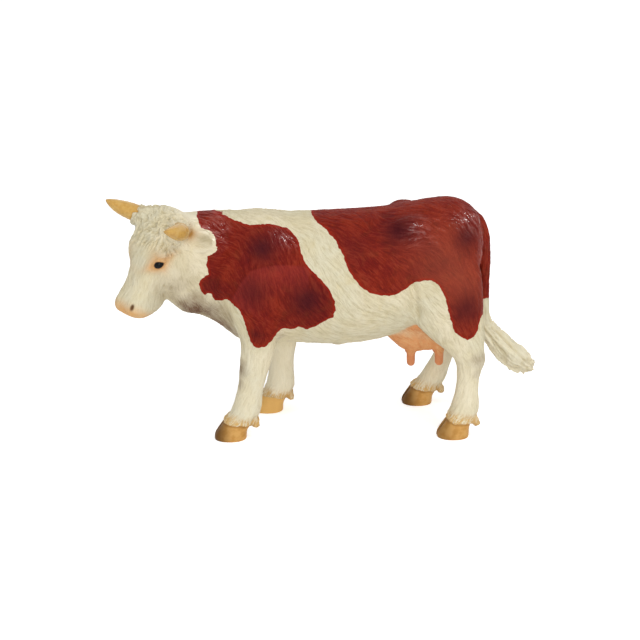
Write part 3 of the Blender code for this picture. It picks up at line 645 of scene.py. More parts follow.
class Skin:
    """The skin's points and faces as arrays, with the tools that carve it."""

    def __init__(self, mesh):
        self.points = np.empty(len(mesh.vertices) * 3)
        mesh.vertices.foreach_get("co", self.points)
        self.points = self.points.reshape(-1, 3)
        self.edges = np.empty(len(mesh.edges) * 2, np.int64)
        mesh.edges.foreach_get("vertices", self.edges)
        self.edges = self.edges.reshape(-1, 2)
        corners = np.empty(len(mesh.loops), np.int64)
        mesh.loops.foreach_get("vertex_index", corners)
        self.faces = corners.reshape(-1, 4)
        self.degree = np.bincount(self.edges.ravel(), minlength=len(self.points))
        self.normals = self.find_normals()

    def find_normals(self):
        p = self.points
        a, b, c, d = self.faces.T
        face_normals = np.cross(p[c] - p[a], p[d] - p[b])
        found = np.zeros_like(p)
        for axis in range(3):
            for corner in self.faces.T:
                found[:, axis] += np.bincount(corner, face_normals[:, axis], len(p))
        return found / np.maximum(np.linalg.norm(found, axis=1, keepdims=True), 1e-20)

    def spread(self, values, rounds):
        """The values averaged with their neighbours' that many times."""
        first, second = self.edges.T
        for _ in range(rounds):
            total = np.bincount(first, values[second], len(values))
            total += np.bincount(second, values[first], len(values))
            values = (values + total / self.degree) / 2
        return values

    def relax(self, weight, rounds):
        """Melts the skin where the weight is above 0."""
        edges = self.edges[(weight[self.edges] > 0.01).any(axis=1)]
        used, ends = np.unique(edges, return_inverse=True)
        first, second = ends.reshape(-1, 2).T
        count = len(used)
        pull = np.where(weight[used] > 0.01, weight[used], 0) / 2
        degree = np.bincount(first, minlength=count) + np.bincount(second, minlength=count)
        local = self.points[used]
        for _ in range(rounds):
            for axis in range(3):
                total = np.bincount(first, local[second, axis], count)
                total += np.bincount(second, local[first, axis], count)
                local[:, axis] += (total / degree - local[:, axis]) * pull
        self.points[used] = local
        self.normals = self.find_normals()

    def raise_by(self, height):
        self.points = self.points + self.normals * height[:, None]
        self.normals = self.find_normals()


# Fields over the skin

FIELD_LOW = np.array([-0.075, -0.032, -0.008])
FIELD_SIZE = np.array([0.155, 0.064, 0.092])
FAR = -9.0


class Lattice:
    """Smooth noise in space: random numbers on a grid, blended between its nodes."""

    def __init__(self, seed, spacing, parts=1):
        self.low = FIELD_LOW
        self.spacing = spacing
        size = np.ceil(FIELD_SIZE / spacing).astype(int) + 2
        numbers = np.random.default_rng(seed)
        self.values = numbers.standard_normal((*size, parts), dtype=np.float32)

    def at(self, points, smooth=True):
        place = (points - self.low) / self.spacing
        place = np.clip(place, 0, np.array(self.values.shape[:3]) - 1.001)
        cell = place.astype(int)
        t = place - cell
        if smooth:
            t = t * t * (3 - 2 * t)
        found = 0
        for i in (0, 1):
            for j in (0, 1):
                for k in (0, 1):
                    weight = (t[:, 0] if i else 1 - t[:, 0]) * (t[:, 1] if j else 1 - t[:, 1])
                    weight = weight * (t[:, 2] if k else 1 - t[:, 2])
                    values = self.values[cell[:, 0] + i, cell[:, 1] + j, cell[:, 2] + k]
                    found = found + weight[:, None] * values
        return found[:, 0] if self.values.shape[3] == 1 else found


def array_of(vectors):
    return np.array([list(v) for v in vectors])


def mm(*values):
    return np.array(values) * MM


def step(value, low, high):
    """0 below low, 1 above high, and smooth between."""
    t = np.clip((value - low) / (high - low), 0, 1)
    return t * t * (3 - 2 * t)


def hill(value, width):
    """1 at 0, 0.37 at the width on both sides of it, and nothing far away."""
    return np.exp(-((value / width) ** 2))


def bell(points, centre, axes, halves):
    """1 at the centre, 0.37 at the half sizes, and nothing far away."""
    local = (points - np.array(centre)) @ array_of(axes).T / np.array(halves)
    return np.exp(-(local**2).sum(axis=1))


def ball(points, centre, radius):
    return np.exp(-((points - np.array(centre)) ** 2).sum(axis=1) / radius**2)


def line_distance(points, path):
    """Distance to a line through the path's points, and the share of the line reached."""
    path = array_of(path)
    lengths = np.linalg.norm(np.diff(path, axis=0), axis=1)
    reached = np.concatenate([[0.0], np.cumsum(lengths)]) / lengths.sum()
    best = np.full(len(points), np.inf)
    share = np.zeros(len(points))
    for i, (a, b) in enumerate(zip(path, path[1:])):
        t = np.clip((points - a) @ (b - a) / ((b - a) @ (b - a)), 0, 1)
        gap = np.linalg.norm(points - a - t[:, None] * (b - a), axis=1)
        closer = gap < best
        best = np.where(closer, gap, best)
        share = np.where(closer, reached[i] + t * (reached[i + 1] - reached[i]), share)
    return best, share


def outline_distance(x, z, outline):
    """Distance in the side view to a closed outline, above 0 inside it."""
    inside = np.zeros(len(x), bool)
    best = np.full(len(x), np.inf)
    for (x0, z0), (x1, z1) in zip(outline, outline[1:] + outline[:1]):
        dx, dz = x1 - x0, z1 - z0
        t = np.clip(((x - x0) * dx + (z - z0) * dz) / (dx * dx + dz * dz), 0, 1)
        best = np.minimum(best, np.hypot(x - x0 - t * dx, z - z0 - t * dz))
        crosses = (z0 > z) != (z1 > z)
        slope = dx / dz if dz else 0.0
        inside ^= crosses & (x < x0 + (z - z0) * slope)
    return np.where(inside, best, -best)


# A hand is -1 on the cow's left and 1 on its right.


def beside(behind, out, up, hand):
    """A point behind the spine's middle, out to one side, and above the ground, in mm."""
    return mm(behind, hand * out, up)


def on_head(down_share, out_share, aside_share, hand):
    return head_point(down_share, out_share, aside_share * hand)


# Hair

# Seed of the noise, its grain, the step along the hair and the number of steps each way
HAIR = (21, 0.42 * MM, 0.32 * MM, 3)
COAT = (24, 0.62 * MM, 0.40 * MM, 5)
CURLS = (22, 0.50 * MM, 0.30 * MM, 2)
LOCKS = (23, 0.55 * MM, 0.5 * MM, 14)


def hair_guides():
    """Points on the body with the way the hair lies there."""
    # Place behind, out and up in mm, then the way: back, out and down
    body_ways = (
        (-30, 3, 72, 0.5, 0.8, 0.3), (-15, 3, 72, 0.6, 0.8, 0.1), (0, 3, 71, 0.7, 0.7, 0.1),
        (15, 3, 72, 0.8, 0.6, 0.1), (30, 3, 74, 0.8, 0.5, 0.2), (42, 3, 73, 0.7, 0.5, 0.5),
        (-33, 8, 69, 0.4, 0.5, 0.9), (-31, 10, 62, 0.5, 0.3, 0.8), (-35, 10, 52, 0.5, 0.2, 0.8),
        (-33, 9, 44, 0.4, 0.1, 0.9), (-24, 13, 62, 0.35, 0.2, 0.9), (-24, 15, 50, 0.2, 0.0, 1.0),
        (-14, 13, 63, 0.3, 0.2, 0.9), (-14, 16, 50, 0.25, 0.0, 1.0), (-12, 14, 38, 0.5, 0, 0.8),
        (-2, 14, 62, 0.5, 0.3, 0.8), (-2, 17, 50, 0.5, 0.0, 0.9), (0, 14, 36, 0.9, -0.1, 0.5),
        (10, 14, 62, 0.75, 0.3, 0.6), (10, 17, 50, 0.7, 0.0, 0.7), (12, 14, 36, 1.0, 0, 0.35),
        (22, 13, 63, 0.85, 0.2, 0.45), (22, 17, 50, 0.75, 0.0, 0.65), (22, 12, 36, 0.9, 0, 0.5),
        (33, 12, 66, 0.85, 0.2, 0.5), (34, 15, 56, 0.7, 0.0, 0.7), (33, 15, 45, 0.5, 0, 0.85),
        (43, 12, 62, 0.55, 0.1, 0.85), (46, 13, 50, 0.3, 0.0, 1.0), (42, 16, 38, 0.4, 0, 0.9),
        (49, 5, 66, 0.2, 0.1, 1.0), (50, 5, 55, 0.1, 0.1, 1.0), (50, 6, 45, 0.0, 0.1, 1.0),
        (-20, 4, 30, 1.0, 0, 0.1), (0, 4, 29, 1.0, 0, 0.1), (18, 4, 30, 1.0, 0, 0.1),
    )
    places, ways = [], []
    for x, y, z, back, out, down in body_ways:
        for hand in (-1, 1):
            places.append(beside(x, y, z, hand))
            ways.append((back, hand * out, -down))
    for leg in legs():
        for i in range(3):
            for share in (0.2, 0.7):
                places.append(lerp(leg.joints[i], leg.joints[i + 1], share))
                ways.append((leg.joints[i] - leg.joints[i + 1]).normalized())
    # Place down, out and aside in shares, then the way: down, out and aside
    head_ways = (
        (-0.05, 0.1, 0.0, -0.6, -0.8, 0.0), (0.08, 0.19, 0.0, 0.3, 0.2, 0.0),
        (0.25, 0.18, 0.0, 1.0, 0.1, 0.0), (0.5, 0.1, 0.0, 1.0, 0.0, 0.0),
        (0.72, 0.09, 0.0, 1.0, 0.0, 0.0), (0.05, 0.0, 0.95, 0.7, -0.5, 0.5),
        (0.2, 0.1, 0.75, 0.9, -0.3, 0.2), (0.3, -0.35, 0.85, 0.6, -0.8, 0.1),
        (0.45, -0.25, 0.6, 0.8, -0.6, 0.0), (0.45, -0.7, 0.5, 0.4, -0.9, 0.0),
        (0.62, -0.35, 0.55, 0.8, -0.5, 0.0), (0.2, -0.75, 0.6, 0.3, -0.9, 0.0),
    )
    down, out, right = head_axes()
    for hand in (-1, 1):
        for *place_shares, along, outward, aside in head_ways:
            places.append(on_head(*place_shares, hand))
            ways.append(down * along + out * outward + right * aside * hand)
    for rings in (tail_rings(), ear_rings(-1), ear_rings(1)):
        for first, second in zip(rings, rings[1:]):
            places.append((first.centre + second.centre) / 2)
            ways.append((second.centre - first.centre).normalized())
    ways = array_of(ways)
    return array_of(places), ways / np.linalg.norm(ways, axis=1, keepdims=True)


def guide_field():
    """The guides' ways blended over space, on a coarse grid."""
    field = Lattice(0, 2 * MM, 3)
    size = field.values.shape[:3]
    nodes = np.stack(np.meshgrid(*[np.arange(n) for n in size], indexing="ij"), axis=-1)
    nodes = field.low + nodes.reshape(-1, 3) * field.spacing
    found = np.zeros_like(nodes)
    for place, way in zip(*hair_guides()):
        weight = 1 / (((nodes - place) ** 2).sum(axis=1) + (2 * MM) ** 2) ** 2
        found += weight[:, None] * way
    found /= np.linalg.norm(found, axis=1, keepdims=True) + 1e-20
    field.values = found.reshape(*size, 3).astype(np.float32)
    return field


def along_skin(ways, normals):
    """The ways turned into the skin's plane, with length 1."""
    ways = ways - normals * (ways * normals).sum(axis=1, keepdims=True)
    return ways / np.maximum(np.linalg.norm(ways, axis=1, keepdims=True), 1e-6)


def hair_ways(points, normals, wave):
    """The way the hair lies at each point, in the skin's plane, with its waves."""
    found = guide_field().at(points, smooth=False)
    found += Lattice(11, 6 * MM, 3).at(points) * (0.32 * wave)[:, None]
    curl = 0.22 * wave + 0.8 * np.maximum(wave - 1, 0)
    found += Lattice(12, 2.0 * MM, 3).at(points) * curl[:, None]
    return along_skin(found, normals)


class WayField:
    """The hair's way in space, on a coarse grid filled from the skin's points."""

    def __init__(self, points, ways):
        self.grid = Lattice(0, 1.2 * MM, 3)
        cell = np.round((points - self.grid.low) / self.grid.spacing).astype(int)
        size = self.grid.values.shape[:3]
        flat = np.ravel_multi_index(cell.T, size)
        total = np.stack(
            [np.bincount(flat, ways[:, k], np.prod(size)).reshape(size) for k in range(3)], axis=-1
        )
        for _ in range(3):
            for axis in range(3):
                total = total + 0.5 * (np.roll(total, 1, axis) + np.roll(total, -1, axis))
        length = np.linalg.norm(total, axis=-1, keepdims=True)
        self.grid.values = (total / np.maximum(length, 1e-9)).astype(np.float32)

    def strands(self, points, normals, seed, grain, stride, count):
        """Noise averaged along the hair both ways from each point, with unit spread."""
        noise = Lattice(seed, grain)
        total = noise.at(points)
        for hand in (-1, 1):
            place = points.copy()
            for _ in range(count):
                way = along_skin(self.grid.at(place, smooth=False), normals)
                place = place + way * hand * stride
                total = total + noise.at(place)
        total -= total.mean()
        return total / total.std()


# Carving

EYE_HALF_LENGTH = 1.42 * MM
EYE_HALF_HEIGHT = 1.00 * MM
EYE_HALF_DEPTH = 3 * MM


def add_swells(height, points, swells, axes, place):
    """Adds soft swells on both sides to a height. Rows: place, half sizes and height in mm."""
    for *middle, half_a, half_b, half_c, rise in swells:
        for hand in (-1, 1):
            halves = mm(half_a, half_b, half_c)
            height += rise * MM * bell(points, place(*middle, hand), axes, halves)


def add_creases(height, points, creases, hands=(-1, 1), start=(0, 0.2), end=(0, 0.2)):
    """Takes creases off a height. Rows: path, half width and depth in mm."""
    for path, half, depth in creases:
        for hand in hands:
            gap, share = line_distance(points, [beside(*place, hand) for place in path])
            fade = step(share, *start) * step(1 - share, *end)
            height -= depth * MM * hill(gap, half * MM) * fade


def tube_mask(points, rings, margin=0.0):
    """How far inside a tube each point is, in metres, and its share along the tube."""
    gap, share = line_distance(points, [ring.centre for ring in rings])
    lengths = [(b.centre - a.centre).length for a, b in zip(rings, rings[1:])]
    reached = np.concatenate([[0.0], np.cumsum(lengths)]) / sum(lengths)
    wide = np.interp(share, reached, [ring.wide for ring in rings])
    return wide + margin - gap, share


def eye_axes(skin, hand):
    """The middle of an eye on the skin, its long and short axes and its normal."""
    # The far eye lies further round the side
    aim = head_point(0.360, 0.10, -0.80) if hand < 0 else head_point(0.350, -0.10, 0.95)
    nearest = np.argmin(((skin.points - np.array(aim)) ** 2).sum(axis=1))
    down, out, _ = head_axes()
    normal = Vector(skin.normals[nearest])
    back = -out - normal * normal.dot(-out)
    long = back.normalized() * 0.50 - down * 0.87
    long = (long - normal * normal.dot(long)).normalized()
    return skin.points[nearest].copy(), np.array(long), np.array(normal.cross(long)), normal


def eye_reach(points, eye):
    """Distance from an eye's middle in eye sizes: 1 on its almond outline."""
    middle, long, short, normal = eye
    u = (points - middle) @ long / EYE_HALF_LENGTH
    v = (points - middle) @ short / EYE_HALF_HEIGHT
    n = (points - middle) @ np.array(normal) / EYE_HALF_DEPTH
    pinch = 1 + 0.16 * np.abs(u) ** 2
    return np.sqrt(u**2 + (v * pinch) ** 2 + n**2)


def carve(skin):
    """Muscles, folds and features, from broad to fine. Returns the masks that the paint uses."""
    masks = {}
    carve_body(skin)
    carve_throat(skin)
    carve_head(skin, masks)
    carve_feet(skin, masks)
    carve_udder(skin, masks)
    return masks


def carve_body(skin):
    """Muscles and folds of the trunk, the shoulders and the thighs."""
    p = skin.points
    axes = (AHEAD, RIGHT, UP)
    right_hip_bone = bell(p, mm(27.0, 9.5, 70.0), axes, mm(5.0, 3.5, 3.0))
    height = 1.25 * MM * right_hip_bone
    # Middle, half sizes and height in mm
    swells = (
        (47.0, 8.8, 67.5, 3.0, 2.6, 3.4, 0.8), (28.0, 11.0, 68.0, 4.5, 4.0, 3.0, 0.55),
        (38.0, 12.5, 65.0, 4.5, 4.0, 4.0, -0.4), (19.5, 14.5, 62.0, 4.5, 4.0, 4.5, -0.5),
        (36.5, 16.0, 48.0, 5.0, 4.0, 8.0, 0.6), (31.8, 15.0, 42.5, 2.6, 4.0, 4.5, 0.55),
        (24.0, 15.5, 50.0, 3.0, 4.0, 6.0, -0.35), (-22.0, 14.5, 56.0, 5.0, 4.0, 8.0, 0.4),
        (-12.5, 15.0, 50.0, 1.5, 4.0, 11.0, -0.45), (-7.5, 16.0, 46.0, 3.5, 4.0, 5.0, 0.3),
        (-29.5, 12.5, 52.0, 2.4, 4.0, 8.0, -0.45), (-17.0, 14.5, 41.0, 3.5, 4.0, 4.5, 0.45),
        (-17.0, 6.0, 71.5, 5.0, 5.0, 3.0, 0.3), (48.6, 12.0, 55.0, 1.5, 3.0, 11.0, 0.35),
    )
    add_swells(height, p, swells, axes, beside)
    # Path, half width and depth in mm
    creases = (
        (((26.8, 16, 55), (28.3, 16, 48), (29.2, 15, 43), (31, 13, 37.5)), 1.2, 1.15),
        (((-27, 14, 41), (-24, 15, 36), (-21.5, 14, 31)), 1.2, 0.35),
        (((-14, 15, 42), (-12.6, 14, 38), (-13.4, 12, 34)), 1.3, 0.55),
        (((44, 17, 33), (46.5, 16.5, 27)), 1.0, 0.35),
        (((45.0, 14.5, 60), (45.4, 15.5, 51), (45.0, 15.5, 42), (43.5, 16, 36)), 1.1, 0.40),
        (((46.5, 3.0, 71), (49.3, 3.4, 66), (51.0, 3.8, 60), (51.5, 4.0, 52)), 0.8, 0.45),
        (((-28, 14, 46), (-21.8, 15, 56), (-12.5, 16, 57.8), (-4.1, 16, 57.3)), 0.9, 0.50),
    )
    add_creases(height, p, creases)
    skin.raise_by(skin.spread(height, 6))


def carve_throat(skin):
    """Loose folds that run down the left of the throat to the brisket."""
    height = np.zeros(len(skin.points))
    folds = (
        (((-42.5, 11, 49), (-41, 8.5, 44), (-39.5, 5, 40.5)), 0.6, 0.65),
        (((-40.3, 11.5, 48), (-38.4, 9, 42.5), (-37, 5, 38.5)), 0.6, 0.60),
        (((-38, 11.5, 46), (-36, 9, 40.5), (-34.8, 5, 36.6)), 0.6, 0.60),
        (((-35.4, 11.5, 43.5), (-33.4, 9, 38), (-32, 5, 34.5)), 0.7, 0.50),
        (((-32.5, 11.5, 41), (-30.5, 9, 36), (-29.4, 5, 32.6)), 0.8, 0.35),
    )
    add_creases(height, skin.points, folds, (-1,), (0, 0.35), (-0.2, 0.2))
    skin.raise_by(height)


def carve_head(skin, masks):
    """The bones of the face, then its features, the horns' sleeves and the ears."""
    p = skin.points
    # Shares down, out and aside, then half sizes and height in mm
    swells = (
        (0.255, 0.17, 0.66, 2.4, 1.6, 1.8, 0.45), (0.47, 0.0, 0.62, 3.0, 2.0, 1.6, -0.4),
        (0.545, -0.42, 0.6, 4.5, 3.0, 2.0, -0.3), (0.745, 0.07, 0.36, 1.8, 1.5, 1.4, 0.35),
        (0.38, -0.4, 0.8, 4.0, 4.0, 2.0, 0.3),
    )
    height = np.zeros(len(p))
    add_swells(height, p, swells, head_axes(), on_head)
    skin.raise_by(skin.spread(height, 3))

    masks["eye"] = np.full(len(p), -FAR)
    for name in ("peach", "bare", "nostril", "mouth"):
        masks[name] = np.zeros(len(p))
    height = np.zeros(len(p))
    for hand in (-1, 1):
        carve_eye(height, p, eye_axes(skin, hand), masks)
    for hand in (-1, 1):
        carve_muzzle(height, p, hand, masks)
    down, out, _ = head_axes()
    near = ((p - np.array(head_point(0.4, -0.2, 0))) ** 2).sum(axis=1) < (0.65 * HEAD_LENGTH) ** 2
    from_poll = p - np.array(poll())
    masks["along"] = np.where(near, from_poll @ np.array(down) / HEAD_LENGTH, FAR)
    masks["outward"] = np.where(near, from_poll @ np.array(out) / HEAD_DEPTH, FAR)
    masks["muzzle"] = step(masks["along"], 0.66, 0.80)
    skin.raise_by(height)
    push_sleeves(skin)
    for name in ("hollow", "pale_and_lit"):
        masks[name] = np.zeros(len(p))
    masks["ear_end"] = np.full(len(p), FAR)
    for hand in (-1, 1):
        carve_ear(skin, masks, hand)


def carve_eye(height, points, eye, masks):
    """An eyeball, its lids, the groove round them and the swelling round that."""
    reach = eye_reach(points, eye)
    # Distance and half width in eye sizes, height in mm
    eye_rings = ((0, 0.85, 0.60), (1.38, 0.30, 0.34), (2.15, 0.38, -0.26), (2.9, 0.4, 0.14))
    for away, half, rise in eye_rings:
        height += rise * MM * hill(reach - away, half)
    masks["eye"] = np.minimum(masks["eye"], reach)
    masks["peach"] += 1.15 * hill(reach, 3.1)
    masks["bare"] += np.exp(-((reach / 2.0) ** 4))


def carve_muzzle(height, points, hand, masks):
    """One nostril with its rim, and one half of the mouth with the lip over it."""
    down, out, right = head_axes()
    aside = right * hand
    # The far nostril lies further round the side
    nostril = head_point(0.775, 0.075, -0.43) if hand < 0 else head_point(0.765, -0.02, 0.60)
    slit_axes = (down, (out - aside).normalized(), (out + aside).normalized())
    slit = bell(points, nostril, slit_axes, mm(1.35, 0.68, 1.6))
    rim = bell(points, nostril, (down, out, right), mm(1.9, 1.7, 1.9)) - slit
    height -= 0.75 * MM * slit
    height += 0.22 * MM * rim
    masks["nostril"] = np.maximum(masks["nostril"], slit)
    mouth_shares = (
        (0.838, -0.15, 0), (0.828, -0.2, 0.3), (0.775, -0.3, 0.55), (0.7, -0.42, 0.62),
    )
    gap, share = line_distance(points, [on_head(*place, hand) for place in mouth_shares])
    lips = hill(gap, 0.45 * MM) * step(1 - share, 0, 0.15)
    height -= 0.42 * MM * lips
    height += 0.12 * MM * hill(gap, 1.3 * MM) * step(1 - share, 0, 0.2)
    masks["mouth"] = np.maximum(masks["mouth"], lips)


def push_sleeves(skin):
    """Draws the skin a little way up each horn."""
    for hand, reach in ((-1, 0.9), (1, 2.4)):
        horn = horn_rings(hand)
        deep, share = tube_mask(skin.points, horn)
        sleeve = hill(np.maximum(-deep, 0), 0.9 * MM) * step(-share, -0.5, -0.3)
        ahead = np.array((horn[3].centre - horn[1].centre).normalized())
        skin.points = skin.points + (reach * MM * sleeve)[:, None] * ahead
    skin.normals = skin.find_normals()


def carve_ear(skin, masks, hand):
    """The hollow of the ear, on the side that faces ahead, inside a rolled rim, with painted shade
    in the hollow and a painted highlight on the rim.
    """
    rings = ear_rings(hand)
    deep, share = tube_mask(skin.points, rings)
    side, up = np.array(rings[2].side), np.array(rings[2].up)
    local = skin.points - np.array(rings[2].centre)
    to_front = np.sign(up @ np.array(head_axes()[1]))
    above = local @ side * np.sign(side[2]) / (0.5 * EAR_WIDTH)
    across = np.abs(above)
    front = step(local @ up * to_front, -0.2 * MM, 0.5 * MM)
    bowl = np.exp(-((across / 0.62) ** 4)) * np.exp(-(((share - 0.42) / 0.38) ** 4))
    on_ear = step(deep, -1.0 * MM, 0.0)
    hollow = bowl * front * on_ear
    # Painted shade in the hollow, strongest under the upper rim
    shade = hollow * step(share, 0.0, 0.5) * (0.55 + 0.75 * step(above, -0.3, 0.4))
    masks["hollow"] = np.maximum(masks["hollow"], shade)
    # Painted highlight along the rim and on the tip, brighter on the upper side
    rim = hill(across - 0.86, 0.16) * front * on_ear * step(share, 0.1, 0.3)
    rim = rim * (0.30 + 0.70 * step(above, -0.2, 0.4))
    tip = step(share, 0.80, 0.92) * front * on_ear * (0.45 + 0.55 * step(above, -0.5, 0.3))
    rim = np.maximum(rim, tip)
    masks["pale_and_lit"] = np.maximum(masks["pale_and_lit"], rim)
    skin.raise_by((0.25 * rim - 1.15 * hollow) * MM)
    masks["ear_left" if hand < 0 else "ear_right"] = (deep, share)
    masks["ear_end"] = np.maximum(masks["ear_end"], 0.92 - 0.22 * across**2 - share)


def carve_feet(skin, masks):
    """Hooves with a coronet, growth rings and a cleft. The toe mask is below 0 on the far front
    hoof, painted lighter as painted light in the body's shade.
    """
    p = skin.points
    masks["hoof"] = np.full(len(p), FAR)
    masks["toe"] = np.zeros(len(p))
    masks["cleft"] = np.zeros(len(p))
    height = np.zeros(len(p))
    jitter = Lattice(31, 1.1 * MM).at(p) * 0.16 * MM
    brown_toes = {"front_leg_left": 1.0, "hind_leg_left": 0.55, "hind_leg_right": 1.0}
    # Distance under the coronet, half width and height in mm
    hoof_bands = (
        (-0.25, 0.45, 0.2), (0.45, 0.35, -0.14), (1.6, 0.3, -0.04), (2.7, 0.3, -0.04),
        (3.8, 0.3, -0.04),
    )
    for leg in legs():
        sole = np.array(leg.joints[0])
        behind = p[:, 0] - (sole[0] - 0.5 * HOOF_LENGTH)
        near = (np.abs(p[:, 0] - sole[0]) < HOOF_LENGTH) & (np.abs(p[:, 1] - sole[1]) < HOOF_WIDTH)
        near &= p[:, 2] < 2 * HOOF_HEIGHT
        top = 1.02 * HOOF_HEIGHT - 0.17 * behind + jitter
        below = np.where(near, top - p[:, 2], FAR)
        masks["hoof"] = np.maximum(masks["hoof"], below)
        for middle, half, rise in hoof_bands:
            height += rise * MM * hill(below - middle * MM, half * MM) * near
        split = hill(p[:, 1] - sole[1], 0.42 * MM)
        split = split * step(-behind, -4.6 * MM, -3.4 * MM) * step(below, 0.2 * MM, 1.2 * MM)
        height -= 0.8 * MM * split
        masks["cleft"] = np.maximum(masks["cleft"], split * near)
        # Browner toes on three hooves; the far front hoof gets a negative toe mask instead, painted
        # light that lightens it in the body's shade
        brown = brown_toes.get(leg.name)
        toe = step(-behind, -6.5 * MM, -0.8 * MM)
        masks["toe"] += (toe * brown if brown else -0.8) * near
    skin.raise_by(height)


def carve_udder(skin, masks):
    """The quarters of the udder, and the masks of its bag and teats."""
    p = skin.points
    local = p - np.array(udder_middle())
    x, y, z = local[:, 0] / UDDER_LENGTH, local[:, 1] / UDDER_WIDTH, -local[:, 2] / UDDER_DEPTH
    round_bag = (1 - np.sqrt((x / 0.53) ** 2 + (y / 0.53) ** 2)) * UDDER_WIDTH / 2
    bag = np.where(z > -0.45, np.minimum(round_bag, (z + 0.35) * UDDER_DEPTH), FAR)
    inside = step(bag, -0.5 * MM, 0.5 * MM)
    quarters = hill(y, 0.06) + 0.6 * hill(x - 0.13, 0.05)
    skin.raise_by(-0.35 * MM * quarters * inside * step(z, 0.4, 0.9))
    for rings in (*teats(-1), *teats(1)):
        deep, _ = tube_mask(p, rings, 1.3 * MM)
        bag = np.maximum(bag, np.where(z > 0.55, deep, FAR))
    masks["udder"] = bag
    masks["teat"] = step(z, 0.98, 1.25) * step(bag, -0.5 * MM, 0.5 * MM)


def clip_to_box(points):
    """Keeps the skin inside the CAD model's box, and its soles on the ground."""
    low = np.array(CAD_BOX[0]) - SPINE_TO_ROW + 0.02 * MM
    high = np.array(CAD_BOX[1]) - SPINE_TO_ROW - 0.02 * MM
    low[2] = 0.0
    return np.clip(points, low, high)


# Coat patches: outlines in the side view, ahead or behind and up, in mm

NECK_PATCH = (
    (-38.3, 80), (-38.3, 71.0), (-37.9, 69.6), (-37.2, 68.2), (-36.3, 67.8), (-35.6, 66.0),
    (-35.8, 63.0), (-35.0, 61.0), (-35.9, 57.2), (-35.2, 54.4), (-37.2, 53.2), (-38.4, 51.0),
    (-37.6, 48.6), (-36.5, 47.3), (-35.5, 48.1), (-34.6, 47.6), (-33.6, 45.6), (-31.6, 45.4),
    (-29.6, 46.4), (-28.0, 45.2), (-25.6, 43.0), (-24.6, 40.6), (-24.0, 37.9), (-23.0, 34.5),
    (-22.6, 32.8), (-21.8, 31.9), (-20.7, 31.3), (-19.8, 31.1), (-17.9, 31.6), (-16.6, 32.8),
    (-15.6, 34.1), (-14.4, 35.7), (-13.5, 36.6), (-12.7, 37.1), (-11.6, 37.1), (-10.3, 36.6),
    (-9.1, 37.0), (-7.9, 37.8), (-6.9, 37.5), (-5.7, 36.9), (-4.5, 37.0), (-3.2, 37.5),
    (-2.0, 38.1), (-1.1, 39.0), (0.7, 40.2), (2.9, 41.2), (3.7, 43.6), (3.4, 46.6), (2.2, 49.2),
    (0.6, 52.0), (-1.4, 54.0), (-4.6, 57.0), (-6.0, 59.6), (-6.8, 62.0), (-7.3, 64.1), (-7.9, 65.4),
    (-9.0, 66.8), (-10.5, 67.9), (-12.6, 68.5), (-14.2, 69.0), (-16.6, 69.2), (-18.8, 69.0),
    (-21.2, 68.9), (-22.8, 69.1), (-24.2, 69.5), (-26.7, 69.9), (-28.0, 70.45), (-29.4, 71.0),
    (-31.0, 71.5), (-32.6, 72.1), (-34.6, 73.0), (-37.2, 74.6), (-38.2, 80),
)
RUMP_PATCH = (
    (-3.0, 80), (-3.0, 71.0), (-2.0, 69.6), (-0.6, 68.6), (1.2, 67.6), (2.6, 66.0), (4.0, 64.4),
    (4.8, 62.6), (6.0, 60.8), (6.7, 58.0), (7.4, 56.4), (8.4, 54.6), (10.0, 52.6), (11.8, 50.8),
    (14.2, 49.2), (17.0, 48.2), (20.0, 47.8), (22.6, 48.2), (25.6, 49.8), (28.6, 51.7),
    (31.0, 52.3), (33.4, 52.1), (35.2, 51.0), (36.8, 49.0), (37.9, 46.4), (38.7, 43.0),
    (39.6, 39.4), (40.4, 36.8), (41.3, 35.4), (42.3, 34.5), (43.6, 33.6), (45.2, 33.0),
    (46.4, 33.2), (47.3, 33.8), (48.0, 34.9), (48.5, 36.1), (49.0, 37.8), (49.8, 39.6),
    (52.0, 40.2), (56, 40.4), (70, 44.0), (70, 80),
)
RIGHT_NECK_PATCH = (
    (-38.3, 80), (-38.3, 71.0), (-39.5, 67.5), (-42.0, 64.0), (-41.5, 60.0), (-39.0, 57.0),
    (-40.0, 53.0), (-38.5, 49.5), (-35.0, 48.0), (-32.5, 45.0), (-29.5, 44.0), (-27.5, 40.0),
    (-25.0, 39.0), (-21.5, 41.0), (-18.0, 39.5), (-14.5, 40.5), (-12.0, 44.0), (-8.5, 45.5),
    (-6.5, 49.0), (-7.5, 53.0), (-5.5, 57.0), (-7.5, 61.5), (-11.5, 64.0), (-13.5, 67.5),
    (-18.0, 68.6), (-24.0, 69.0), (-29.2, 70.2), (-32.5, 71.2), (-34.0, 73.0), (-38.0, 80),
)
RIGHT_RUMP_PATCH = (
    (-3.0, 80), (-3.0, 71.0), (-1.0, 68.0), (2.5, 66.5), (4.5, 63.0), (4.0, 59.0), (6.0, 55.5),
    (10.0, 54.0), (12.5, 50.0), (16.0, 46.5), (20.5, 45.5), (24.0, 48.0), (28.0, 49.5),
    (31.5, 47.0), (33.0, 43.0), (36.0, 40.0), (40.0, 38.5), (43.5, 40.0), (46.0, 43.5),
    (48.0, 47.0), (49.2, 45.0), (50.4, 41.0), (56, 41.0), (70, 44.0), (70, 80),
)


def patch_distance(points):
    """How far inside a red patch each point is, in metres."""
    x, y, z = points.T / MM
    right = step(y, -1.0, 1.0)
    found = np.zeros(len(x))
    for outlines, share in (
        ((NECK_PATCH, RUMP_PATCH), 1 - right), ((RIGHT_NECK_PATCH, RIGHT_RUMP_PATCH), right)
    ):
        here = share > 0
        reach = [outline_distance(x[here], z[here], outline) for outline in outlines]
        found[here] += np.maximum(*reach) * share[here]
    return found * MM


def sprayed(points, spots, place=beside, hands=(-1, 1)):
    """The strongest of some airbrushed spots. Rows: place, radius in mm and strength."""
    found = np.zeros(len(points))
    for *middle, radius, strength in spots:
        for hand in hands:
            spot = ball(points, place(*middle, hand), radius * MM)
            found = np.maximum(found, strength * spot)
    return found


